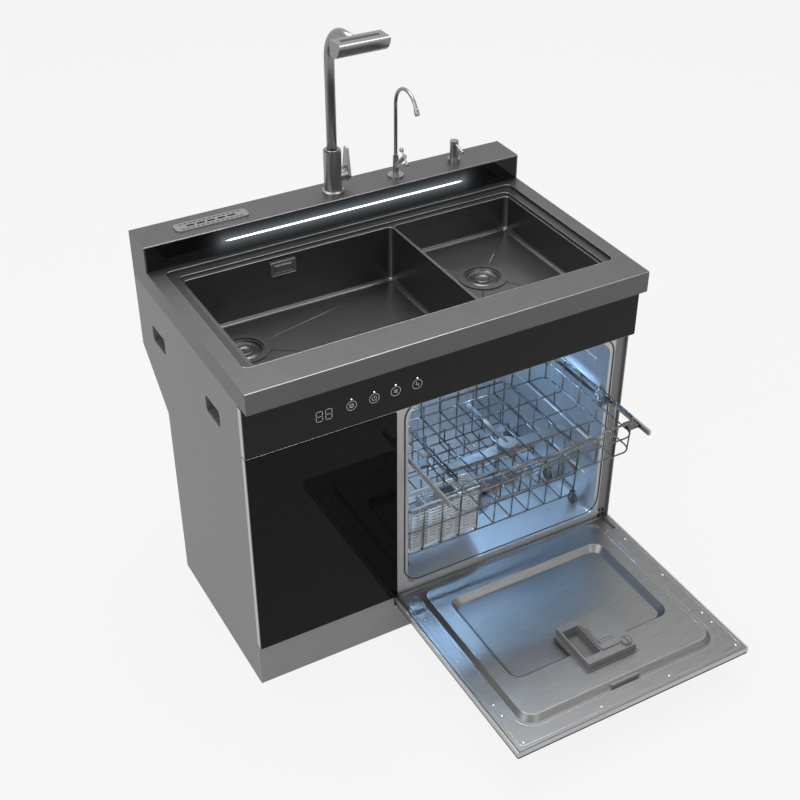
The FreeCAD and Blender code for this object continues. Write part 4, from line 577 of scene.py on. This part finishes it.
def make_basket():
    mesh = bmesh.new()
    (x0, x1), (y0, y1), (z0, z1) = BASKET_X, BASKET_Y, BASKET_Z
    rim = z1 - BASKET_RIM
    for low, high in border(BASKET_X, BASKET_Y, BASKET_WALL):
        block(mesh, (*low, rim), (*high, z1), RIM_EDGE)
        block(mesh, (*low, z0), (*high, z0 + BASKET_FOOT), RIM_EDGE)
    block(mesh, (x0 + 0.002, y0 + 0.002, z0), (x1 - 0.002, y1 - 0.002, z0 + STRIP_DEPTH), 0.0004)
    for level in spread(z0 + BASKET_WALL, rim, 11):
        low, high = level - STRIP_HALF, level + STRIP_HALF
        for y in (y0 + STRIP_INSET, y1 - STRIP_INSET - STRIP_DEPTH):
            block(mesh, (x0 + 0.001, y, low), (x1 - 0.001, y + STRIP_DEPTH, high), STRIP_EDGE)
        for x in (x0 + STRIP_INSET, x1 - STRIP_INSET - STRIP_DEPTH):
            block(mesh, (x, y0 + 0.001, low), (x + STRIP_DEPTH, y1 - 0.001, high), STRIP_EDGE)
    post_top = rim + 0.001
    for x in [x0 + 0.0025] + spread(x0, x1, 7) + [x1 - 0.0025]:
        for y in (y0 + POST_INSET, y1 - POST_INSET - POST_DEPTH):
            block(mesh, (x - STRIP_HALF, y, z0), (x + STRIP_HALF, y + POST_DEPTH, post_top),
                  STRIP_EDGE)
    for y in spread(y0, y1, 2):
        for x in (x0 + POST_INSET, x1 - POST_INSET - POST_DEPTH):
            block(mesh, (x, y - STRIP_HALF, z0), (x + POST_DEPTH, y + STRIP_HALF, post_top),
                  STRIP_EDGE)
    for x in spread(x0, x1, 3):
        block(mesh, (x - 0.001, y0 + 0.002, z0), (x + 0.001, y1 - 0.002, z1 - 0.010), 0.0004)
    piece("basket_lattice", mesh, pale_plastic, "cutlery_basket", "cutlery_basket")


# Faucet and small tap: smooth pipes and their trim

def bend(x, row, level, radius, start, end, steps):
    """Points round a bend that starts upwards at the back and turns to the front."""
    points = []
    for k in range(steps + 1):
        angle = radians(start + (end - start) * k / steps)
        points.append((x, row - radius + radius * cos(angle), level + radius * sin(angle)))
    return points


ROW = 0.246
LEDGE = 0.830
FAUCET_BASE, FAUCET_RISE, FAUCET_REACH = LEDGE + 0.0695, LEDGE + 0.300, 0.118
FAUCET_BEND, FAUCET_PIPE = 0.070, 0.011
RING_LEVEL = LEDGE + 0.0973
RING_PROFILE = ((0.0112, 0), (0.0155, 0), (0.0165, 0.0008), (0.0165, 0.0022), (0.0155, 0.003),
                (0.0112, 0.003))
HEAD_DEPTH, HEAD_HALF = 0.044, 0.017
HEAD_ENDS = ((-0.0565, 0.0012), (-0.0553, 0), (0.0553, 0), (0.0565, 0.0012))

# Places back from the head's front end, and heights from its middle
HEAD_OUTLINE = (
    (0.044, 0.0155), (0.0425, 0.017), (0.0025, 0.017), (0.0006, 0.0158), (0, 0.0135),
    (0.001, 0.009), (0.004, 0.001), (0.009, -0.007), (0.016, -0.013), (0.024, -0.0163),
    (0.031, -0.017), (0.040, -0.0165), (0.044, -0.013))
ROUND_SIDES = range(4, 12)
NOZZLE_PLACES = (0.028, 0.036)


def make_faucet():
    mesh = bmesh.new()
    level = FAUCET_RISE + FAUCET_BEND
    line = [(0, ROW, FAUCET_BASE), (0, ROW, FAUCET_RISE)]
    line += bend(0, ROW, FAUCET_RISE, FAUCET_BEND, 6, 90, 14)
    line.append((0, ROW - FAUCET_REACH, level))
    tube(mesh, line, FAUCET_PIPE, 36)
    lathe(mesh, [(radius, RING_LEVEL + height) for radius, height in RING_PROFILE],
          (0, ROW, 0), sides=48)
    piece("faucet_pipe", mesh, head_steel, "faucet_spout", "faucet_spout")
    mesh = bmesh.new()
    back, half_depth = ROW - FAUCET_REACH, HEAD_DEPTH / 2
    front = back - HEAD_DEPTH
    rings = []
    for x, inset in HEAD_ENDS:
        ring = []
        for y, z in HEAD_OUTLINE:
            ring.append(mesh.verts.new((x, front + y + (half_depth - y) * inset / half_depth,
                                        level + z * (1 - inset / HEAD_HALF))))
        rings.append(ring)
    count = len(HEAD_OUTLINE)
    for first, second in zip(rings, rings[1:]):
        for k in range(count):
            n = (k + 1) % count
            face = mesh.faces.new((first[k], first[n], second[n], second[k]))
            face.smooth = k in ROUND_SIDES
    mesh.faces.new(rings[0])
    mesh.faces.new(list(reversed(rings[-1])))
    piece("faucet_head", mesh, head_steel, "faucet_spout")
    mesh = bmesh.new()
    # A thin black strip on the head's top: painted shade in its slot
    block(mesh, (-0.043, front + 0.018, level + 0.0166), (0.043, back - 0.014, level + 0.01705),
          0.0001)
    piece("faucet_slot", mesh, painted_slot_shade, "faucet_spout")
    mesh = bmesh.new()
    mouth = level - 0.0169
    for x in spread(-0.046, 0.046, 9):
        for place in NOZZLE_PLACES:
            lathe(mesh, [(0, mouth), (0.0016, mouth), (0.0022, level - 0.016)],
                  (x, front + place, 0), sides=10)
    piece("faucet_nozzles", mesh, rubber, "faucet_spout")


TAP = 0.155
TAP_BASE, TAP_RISE, TAP_BEND, TAP_PIPE = LEDGE + 0.0345, LEDGE + 0.170, 0.046, 0.004
TAP_END = 0.012
VALVE_LEVEL = LEDGE + 0.022
HANDLE_REACH, HANDLE_HALF, COLLAR_REACH = 0.054, 0.017, 0.034


def make_tap():
    mesh = bmesh.new()
    line = [(TAP, ROW, TAP_BASE), (TAP, ROW, TAP_RISE)]
    line += bend(TAP, ROW, TAP_RISE, TAP_BEND, 5, 155, 26)
    end, way = Vector(line[-1]), (Vector(line[-1]) - Vector(line[-2])).normalized()
    line.append(tuple(end + way * TAP_END))
    tube(mesh, line, TAP_PIPE, 20)
    lathe(mesh, [(0.004, 0.0), (0.0052, 0.001), (0.0055, 0.006), (0.0055, 0.013),
                 (0.0048, 0.015), (0.003, 0.015), (0.003, 0.012)], end, way, 24)
    piece("tap_pipe", mesh, head_steel, "tap_spout", "tap_spout")
    mesh = bmesh.new()
    valve, lean = Vector((TAP, ROW, VALVE_LEVEL)), Vector((0, -1, 1)).normalized()
    middle = valve + lean * HANDLE_REACH
    across = Vector((0, 1, 1)).normalized()
    for side in (-1, 1):
        lathe(mesh, [(0, -0.0052), (0.0033, -0.0042), (0.005, -0.0015), (0.005, 0.0015),
                     (0.0033, 0.0042), (0, 0.0052)], middle + across * side * HANDLE_HALF,
              across, 20)
    lathe(mesh, [(0.0051, -0.002), (0.0054, 0), (0.0051, 0.002)],
          valve + lean * COLLAR_REACH, lean, 24)
    piece("tap_handle_trim", mesh, head_steel, "tap_handle")


# Display and touch signs on the control panel

PANEL_Y = -0.2677
SIGN = 0.0002
SIGN_LINE = 0.0006
DIGIT_X, DIGIT_Z, DIGIT_WIDTH, DIGIT_GAP = (-0.301, -0.281), (0.644, 0.667), 0.013, 0.0012
SIGN_SPOTS = ((-0.226, 0.6575), (-0.177, 0.658), (-0.130, 0.6585), (-0.082, 0.659))
SIGN_RADIUS = 0.0105
DOT_RISE, DOT_RADIUS, DOT_LINE = 0.0148, 0.0007, 0.0013


def flat_line(mesh, points, width):
    """A thin raised line on the control panel, through points across and up."""
    for (x0, z0), (x1, z1) in zip(points, points[1:]):
        step = Vector((x1 - x0, z1 - z0)).normalized() * width / 2
        corners = [(x0 + step.y, z0 - step.x), (x1 + step.y, z1 - step.x),
                   (x1 - step.y, z1 + step.x), (x0 - step.y, z0 + step.x)]
        near = [mesh.verts.new((x, PANEL_Y, z)) for x, z in corners]
        far = [mesh.verts.new((x, PANEL_Y + SIGN, z)) for x, z in corners]
        mesh.faces.new(near)
        for i in range(4):
            mesh.faces.new((near[i], near[(i + 1) % 4], far[(i + 1) % 4], far[i]))


def circle(x, z, radius, steps=28, start=0, end=360):
    """Points round an arc, across and up."""
    points = []
    for i in range(steps + 1):
        angle = radians(start + (end - start) * i / steps)
        points.append((x + radius * cos(angle), z + radius * sin(angle)))
    return points


def sign_lines(i, x, z):
    """The lines inside a sign's ring: a barred disc, a power mark, two waves and a fold."""
    if i == 0:
        return [circle(x, z, 0.0045, 20), [(x - 0.0035, z - 0.0035), (x + 0.0035, z + 0.0035)]]
    if i == 1:
        return [circle(x, z, 0.0048, 16, 120, 420), [(x, z), (x, z + 0.006)]]
    if i == 2:
        return [[(x - 0.004, z + k), (x - 0.001, z + k + 0.0012), (x + 0.001, z + k - 0.0012),
                 (x + 0.004, z + k)] for k in (-0.003, 0, 0.003)]
    return [[(x - 0.001, z + 0.006), (x - 0.0035, z), (x + 0.0035, z), (x + 0.001, z - 0.006)]]


def make_display():
    mesh = bmesh.new()
    dots = bmesh.new()
    low, high = DIGIT_Z
    middle = (low + high) / 2
    for left in DIGIT_X:
        for level in (low, middle, high):
            flat_line(mesh, [(left + DIGIT_GAP, level), (left + DIGIT_WIDTH - DIGIT_GAP, level)],
                      SIGN_LINE)
        for x in (left, left + DIGIT_WIDTH):
            for bottom, top in ((low, middle), (middle, high)):
                flat_line(mesh, [(x, bottom + DIGIT_GAP), (x, top - DIGIT_GAP)], SIGN_LINE)
    for i, (x, z) in enumerate(SIGN_SPOTS):
        flat_line(mesh, circle(x, z, SIGN_RADIUS), SIGN_LINE)
        flat_line(dots, circle(x, z + DOT_RISE, DOT_RADIUS, 10), DOT_LINE)
        for points in sign_lines(i, x, z):
            flat_line(mesh, points, SIGN_LINE)
    piece("panel_signs", mesh, sign_light, "unit")
    piece("panel_dots", dots, lamp_face, "unit")


# Open door: screws, the dispenser's ribs and foot, the rinse cap's mark and the lid's beads

DOOR_FACE = 0.1
SIDE_SCREWS_X, SIDE_SCREWS_Y = (-0.103, 0.429), (-0.727, -0.650, -0.618, -0.482, -0.345)
END_SCREWS_X, END_SCREWS_Y = (0.083, 0.253), -0.727
RIBS, RIB_INSET, RIB_HALF = 14, 0.006, 0.0014
PLATEAU, FLANGE, FLANGE_HEIGHT = 0.1121, 0.004, 0.0012
CAP_X, CAP_Y = 0.214, -0.629
MARK_HALF, MARK_REACH, CAP_RING = 0.0012, 0.0108, 0.0105
LID_TOP, LID_INSET, LID_BEADS = 0.1334, 0.003, (0.18, 0.26)


def screw(mesh, x, y, z, radius=0.0035):
    lathe(mesh, [(radius, z), (radius * 0.9, z + 0.0008), (radius * 0.4, z + 0.0012),
                 (0, z + 0.0012)], (x, y, 0), sides=16)


def make_door_trim():
    mesh = bmesh.new()
    for y in SIDE_SCREWS_Y:
        for x in SIDE_SCREWS_X:
            screw(mesh, x, y, DOOR_FACE)
    for x in END_SCREWS_X:
        screw(mesh, x, END_SCREWS_Y, DOOR_FACE)
    piece("door_screws", mesh, bright_steel, "dishwasher_door")
    mesh = bmesh.new()
    low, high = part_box("dispenser_body")
    for i in range(RIBS):
        x = low.x + RIB_INSET + i * (high.x - low.x - 2 * RIB_INSET) / (RIBS - 1)
        block(mesh, (x - RIB_HALF, low.y - 0.0008, high.z - 0.014),
              (x + RIB_HALF, low.y + 0.0015, high.z - 0.002), 0.0004)
    for start, stop in border((low.x - FLANGE, high.x + FLANGE),
                              (low.y - FLANGE, high.y + FLANGE), FLANGE):
        block(mesh, (*start, PLATEAU), (*stop, PLATEAU + FLANGE_HEIGHT), 0.0005)
    piece("dispenser_ribs", mesh, box_plastic, "dishwasher_door")
    mesh = bmesh.new()
    cap_top = high.z + 0.005
    block(mesh, (CAP_X - MARK_HALF, CAP_Y - MARK_REACH, cap_top),
          (CAP_X + MARK_HALF, CAP_Y + MARK_REACH, cap_top + 0.0008), 0.0002)
    tube(mesh, [(CAP_X + CAP_RING * cos(a), CAP_Y + CAP_RING * sin(a), cap_top)
                for a in [2 * pi * k / 32 for k in range(32)]], 0.0006, 6, True)
    piece("rinse_cap_trim", mesh, dark_plastic, "rinse_cap")
    mesh = bmesh.new()
    low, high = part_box("dispenser_lid")
    length = high.x - low.x - 2 * LID_INSET
    for share in LID_BEADS:
        row = low.y + (high.y - low.y) * share
        tube(mesh, [(low.x + LID_INSET + length * k / 12, row + 0.003 * sin(pi * k / 12),
                     LID_TOP) for k in range(13)], 0.0005, 6)
    piece("lid_beads", mesh, dark_plastic, "dispenser_lid")


# Carcass trim: a painted highlight strip on the kick plate's top edge, the folds of the grip
# holes and the hinge cups

KICK_HIGHLIGHT_SPANS = (((-0.4495, -0.1285), 0.1062), ((-0.1275, 0.4495), 0.0722))
KICK_Y, KICK_HIGHLIGHT_HEIGHT = (-0.2548, -0.2542), 0.0017
GRIP_X, GRIP_DEPTH, GRIP_SHEET = (-0.447, 0.447), 0.014, 0.001
GRIP_ROWS, GRIP_HALF, GRIP_Z = (-0.116, 0.173), 0.036, (0.608, 0.648)
CUP_LEVELS, CUP_X, CUP_Y = (0.188, 0.531), -0.410, -0.2505
CUP_SCREW_X, CUP_SCREW_Y, CUP_SCREW_STEP = -0.392, -0.2499, 0.013


def make_carcass_trim():
    mesh = bmesh.new()
    # A pale strip at the kick plate's top: a painted highlight along its edge
    for x, z in KICK_HIGHLIGHT_SPANS:
        block(mesh, (x[0], KICK_Y[0], z), (x[1], KICK_Y[1], z + KICK_HIGHLIGHT_HEIGHT), 0.0001)
    piece("kick_edge_highlight", mesh, edge_steel, "unit")
    mesh = bmesh.new()
    for x, sign in zip(GRIP_X, (1, -1)):
        near, far = sorted((x, x + GRIP_DEPTH * sign))
        for row in GRIP_ROWS:
            for low, high in border((row - GRIP_HALF, row + GRIP_HALF), GRIP_Z, GRIP_SHEET):
                block(mesh, (near, *low), (far, *high), 0.0002)
    piece("grip_folds", mesh, panel_steel, "unit")
    mesh = bmesh.new()
    for level in CUP_LEVELS:
        lathe(mesh, [(0, 0.0105), (0.0155, 0.0105), (0.0172, 0.0005), (0.0174, 0.0003),
                     (0.022, 0.0003), (0.022, -0.0006), (0.0178, -0.0010)],
              (CUP_X, CUP_Y, level), (0, -1, 0), 32)
        for step in (-CUP_SCREW_STEP, CUP_SCREW_STEP):
            lathe(mesh, [(0.003, 0), (0.0026, 0.0006), (0, 0.0006)],
                  (CUP_SCREW_X, CUP_SCREW_Y, level + step), (0, 1, 0), 12)
    piece("cupboard_hinge_cups", mesh, bright_steel, "cupboard_door")


# Bowl trim: creases that lead to the drains, and the overflow's frame and slot

# Span across, floor level and drain of each bowl
BOWLS = (((-0.392, 0.092), 0.632, (-0.311, 0.048)), ((0.096, 0.392), 0.680, (0.228, -0.010)))
BOWL_Y = (-0.214, 0.153)
DRAIN_FLANGE = 0.055
CREASE_RADIUS, CREASE_SUNK, CREASE_INSET = 0.0011, 0.0004, 0.016

# Half width, half height, corner and standing out of each line round the overflow
OVERFLOW_LINES = ((0.0285, 0.0155, 0.003, 0.0002), (0.021, 0.0095, 0.0015, 0.0))


def make_bowl_trim():
    mesh = bmesh.new()
    for span, floor, drain in BOWLS:
        level = floor - CREASE_SUNK
        for x in (span[0] + CREASE_INSET, span[1] - CREASE_INSET):
            for y in (BOWL_Y[0] + CREASE_INSET, BOWL_Y[1] - CREASE_INSET):
                way = Vector((x - drain[0], y - drain[1], 0)).normalized()
                start = Vector((*drain, level)) + way * DRAIN_FLANGE
                tube(mesh, [start, (x, y, level)], CREASE_RADIUS, 10)
    piece("bowl_creases", mesh, bowl_steel, "unit")
    mesh = bmesh.new()
    low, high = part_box("overflow_cover")
    middle = (low + high) / 2
    for reach_x, reach_z, corner, out in OVERFLOW_LINES:
        outline = loop((middle.x - reach_x, middle.x + reach_x),
                       (middle.z - reach_z, middle.z + reach_z), 0, corner)
        tube(mesh, [(x, low.y - out, z) for x, z, _ in outline], 0.0006, 8, True)
    block(mesh, (middle.x - 0.019, low.y - 0.0012, middle.z - 0.0078),
          (middle.x + 0.019, low.y + 0.0005, middle.z + 0.0078), 0.0008)
    piece("overflow_frame", mesh, fitting_steel, "unit")
    mesh = bmesh.new()
    # A black plate in the overflow: painted shade in its slot
    block(mesh, (middle.x - 0.0205, low.y - 0.0002, middle.z - 0.009),
          (middle.x + 0.0205, low.y + 0.0004, middle.z + 0.009), 0.0001)
    piece("overflow_slot", mesh, painted_slot_shade, "unit")


# A strainer's radii with heights over the bowl's floor, from the knob to the rim
STRAINER_PROFILE = (
    (0, -0.0034), (0.0095, -0.0040), (0.0122, -0.0034), (0.0130, -0.0020), (0.0155, -0.0022),
    (0.0168, -0.0032), (0.0172, -0.0060), (0.0185, -0.0086), (0.0335, -0.0098),
    (0.036, -0.0105), (0.0366, -0.0012), (0.0372, -0.0003), (0.0400, -0.0003),
    (0.0404, -0.0012))
STRAINER_RIM = 0.0404
STRAINER_HOLES = 20
HOLE_START, HOLE_LEVEL, HOLE_SLOPE = 0.0185, -0.0086, 0.08

# Radius of each ring of holes, radius of its holes and its turn in steps of holes
HOLE_RINGS = ((0.0305, 0.0013, 0), (0.0245, 0.0010, 0.5))


def make_strainers():
    for name, (_, floor, drain) in zip(("large_strainer", "small_strainer"), BOWLS):
        mesh = bmesh.new()
        low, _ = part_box(name)
        profile = [(radius, floor + height) for radius, height in STRAINER_PROFILE]
        profile += [(STRAINER_RIM, low.z + 0.001), (0.0400, low.z), (0, low.z)]
        lathe(mesh, profile, (*drain, 0), sides=64)
        piece(name + "_cup", mesh, drain_steel, name, name)
        # Black discs at the holes: painted shade inside them
        mesh = bmesh.new()
        for k in range(STRAINER_HOLES):
            for radius, reach, turned in HOLE_RINGS:
                angle = 2 * pi * (k + turned) / STRAINER_HOLES
                spot = (drain[0] + radius * cos(angle), drain[1] + radius * sin(angle), 0)
                level = floor + HOLE_LEVEL - (radius - HOLE_START) * HOLE_SLOPE
                lathe(mesh, [(reach, level - 0.0005), (reach, level + 0.0002),
                             (0, level + 0.0002)], spot, sides=10)
        piece(name + "_holes", mesh, painted_slot_shade, name)


# Edge lines: rolled edges of the sink's steps, in a paler steel that also paints highlights on
# them, painted highlight lines along long edges, and pressed beads of the door's liner

# Rolled edges of the steps and the bowls' mouths, in a paler steel than the rim: real edges with
# painted highlights along them
# Spans across and back, level, corner and line radius
STEP_EDGES = (
    ((-0.418, 0.418), (-0.214, 0.186), 0.7728, 0.014, 0.0006),
    ((-0.398, 0.398), (-0.214, 0.166), 0.7668, 0.014, 0.0006),
    (BOWLS[0][0], BOWL_Y, 0.7628, 0.011, 0.0007),
    (BOWLS[1][0], BOWL_Y, 0.7628, 0.011, 0.0007),
)

# Painted highlights: pale lines along the worktop's front edge, the ledge's top edge and the
# control panel's bottom edge. Half length, row, level and radius
HIGHLIGHT_EDGES = (
    (0.4495, -0.2901, 0.7722, 0.0006), (0.4495, 0.2049, 0.8291, 0.0005),
    (0.449, -0.2674, 0.6094, 0.00025))

# Spans across and back, level, corner and steps of a corner
DOOR_BEADS = (
    ((-0.087, 0.409), (-0.706, -0.263), 0.0998, 0.040, 10),
    ((-0.069, 0.391), (-0.688, -0.281), 0.1117, 0.026, 10),
    ((-0.113, 0.438), (-0.735, -0.256), 0.0998, 0.010, 6))
BEAD_RADIUS = 0.0005
LATCH_PLATE = ((0.128, -0.6995, 0.1002), (0.198, -0.6915, 0.1092))
SEAL_X, SEAL_Z, SEAL_ROW = (-0.0965, 0.4185), (0.1205, 0.6005), -0.2453
SEAL_CORNER, SEAL_RADIUS = 0.040, 0.0013


def make_edge_lines():
    mesh = bmesh.new()
    for x, y, level, corner, radius in STEP_EDGES:
        tube(mesh, loop(x, y, level, corner, 8), radius, 8, True)
    piece("rim_edges_with_highlights", mesh, fitting_steel, "unit")
    mesh = bmesh.new()
    for half, row, level, radius in HIGHLIGHT_EDGES:
        tube(mesh, [(-half, row, level), (half, row, level)], radius, 8)
    piece("edge_highlight_lines", mesh, painted_highlight_steel, "unit")
    mesh = bmesh.new()
    for x, y, level, corner, steps in DOOR_BEADS:
        tube(mesh, loop(x, y, level, corner, steps), BEAD_RADIUS, 8, True)
    piece("door_beads", mesh, bright_steel, "dishwasher_door")
    mesh = bmesh.new()
    block(mesh, *LATCH_PLATE, 0.0012)
    piece("door_latch_plate", mesh, box_plastic, "dishwasher_door")
    mesh = bmesh.new()
    outline = loop(SEAL_X, SEAL_Z, 0, SEAL_CORNER, 10)
    tube(mesh, [(x, SEAL_ROW, z) for x, z, _ in outline], SEAL_RADIUS, 10, True)
    piece("door_seal", mesh, rubber, "unit", "door_gasket")


# Light strip and the knife holder's grid

STRIP_ROW, STRIP_SHEET, STRIP_HALF_WIDTH = 0.2024, 0.0006, 0.0019
STRIP_TIP, STRIP_TAPER = 0.001, 0.012
SLOT_INSET_X, SLOT_INSET_Y, SLOT_HALF_X, SLOT_HALF_Y = 0.006, 0.0065, 0.0036, 0.0016


def make_ledge_trim():
    mesh = bmesh.new()
    left, right = LIGHT_BAR_X
    near = [mesh.verts.new((x, STRIP_ROW, LIGHT_BAR_Z + z)) for x, z in
            ((left + STRIP_TIP, 0), (left + STRIP_TAPER, -STRIP_HALF_WIDTH),
             (right - STRIP_TAPER, -STRIP_HALF_WIDTH), (right - STRIP_TIP, 0),
             (right - STRIP_TAPER, STRIP_HALF_WIDTH), (left + STRIP_TAPER, STRIP_HALF_WIDTH))]
    far = [mesh.verts.new((v.co.x, STRIP_ROW + STRIP_SHEET, v.co.z)) for v in near]
    mesh.faces.new(near)
    mesh.faces.new(list(reversed(far)))
    count = len(near)
    for k in range(count):
        n = (k + 1) % count
        mesh.faces.new((near[k], near[n], far[n], far[k]))
    piece("light_strip", mesh, lamp_face, "unit")
    mesh = bmesh.new()
    low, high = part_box("knife_holder")
    # Black blocks at the knife slots: painted shade inside them
    for y in (low.y + SLOT_INSET_Y, high.y - SLOT_INSET_Y):
        for x in spread(low.x + SLOT_INSET_X, high.x - SLOT_INSET_X, 13):
            block(mesh, (x - SLOT_HALF_X, y - SLOT_HALF_Y, high.z - 0.0004),
                  (x + SLOT_HALF_X, y + SLOT_HALF_Y, high.z + 0.0002), 0.0001)
    piece("knife_holder_slots", mesh, painted_slot_shade, "unit")


# Tub trim: the rails' rollers and the ribs pressed in the walls

TUB_X, TUB_BACK = (-0.088, 0.410), 0.1464
ROLLER_LEVELS, ROLLER_ROW, ROLLER_INSET = (0.4425, 0.4615), -0.2215, 0.0062
SIDE_RIB_LEVELS, SIDE_RIB_Y, SIDE_RIB_INSET = (0.200, 0.300, 0.520), (-0.20, 0.10), 0.0006
BACK_RIB_X, BACK_RIB_Z = (-0.05, 0.372), (0.16, 0.55)
RIB_RADIUS = 0.0022


def make_tub_trim():
    mesh = bmesh.new()
    for edge, sign in zip(TUB_X, (1, -1)):
        for level in ROLLER_LEVELS:
            lathe(mesh, [(0.0, -0.0036), (0.0042, -0.0036), (0.0046, -0.003), (0.0046, 0.003),
                         (0.0042, 0.0036), (0, 0.0036)],
                  (edge + ROLLER_INSET * sign, ROLLER_ROW, level), (1, 0, 0), 24)
    piece("rail_rollers", mesh, bright_steel, "unit")
    mesh = bmesh.new()
    for edge, sign in zip(TUB_X, (1, -1)):
        for z in SIDE_RIB_LEVELS:
            tube(mesh, [(edge + SIDE_RIB_INSET * sign, y, z) for y in SIDE_RIB_Y],
                 RIB_RADIUS, 10)
    for x in spread(*BACK_RIB_X, 5):
        tube(mesh, [(x, TUB_BACK, z) for z in BACK_RIB_Z], RIB_RADIUS, 10)
    piece("tub_ribs", mesh, tub_steel, "unit")


make_camera()
make_world()
make_floor()
for lamp in LAMPS:
    make_lamp(*lamp)
dress_nodes()
make_lower_rack()
make_upper_rack()
make_rails()
make_basket()
make_faucet()
make_tap()
make_display()
make_door_trim()
make_carcass_trim()
make_bowl_trim()
make_strainers()
make_edge_lines()
make_ledge_trim()
make_tub_trim()

bpy.context.scene.view_settings.view_transform = "Standard"
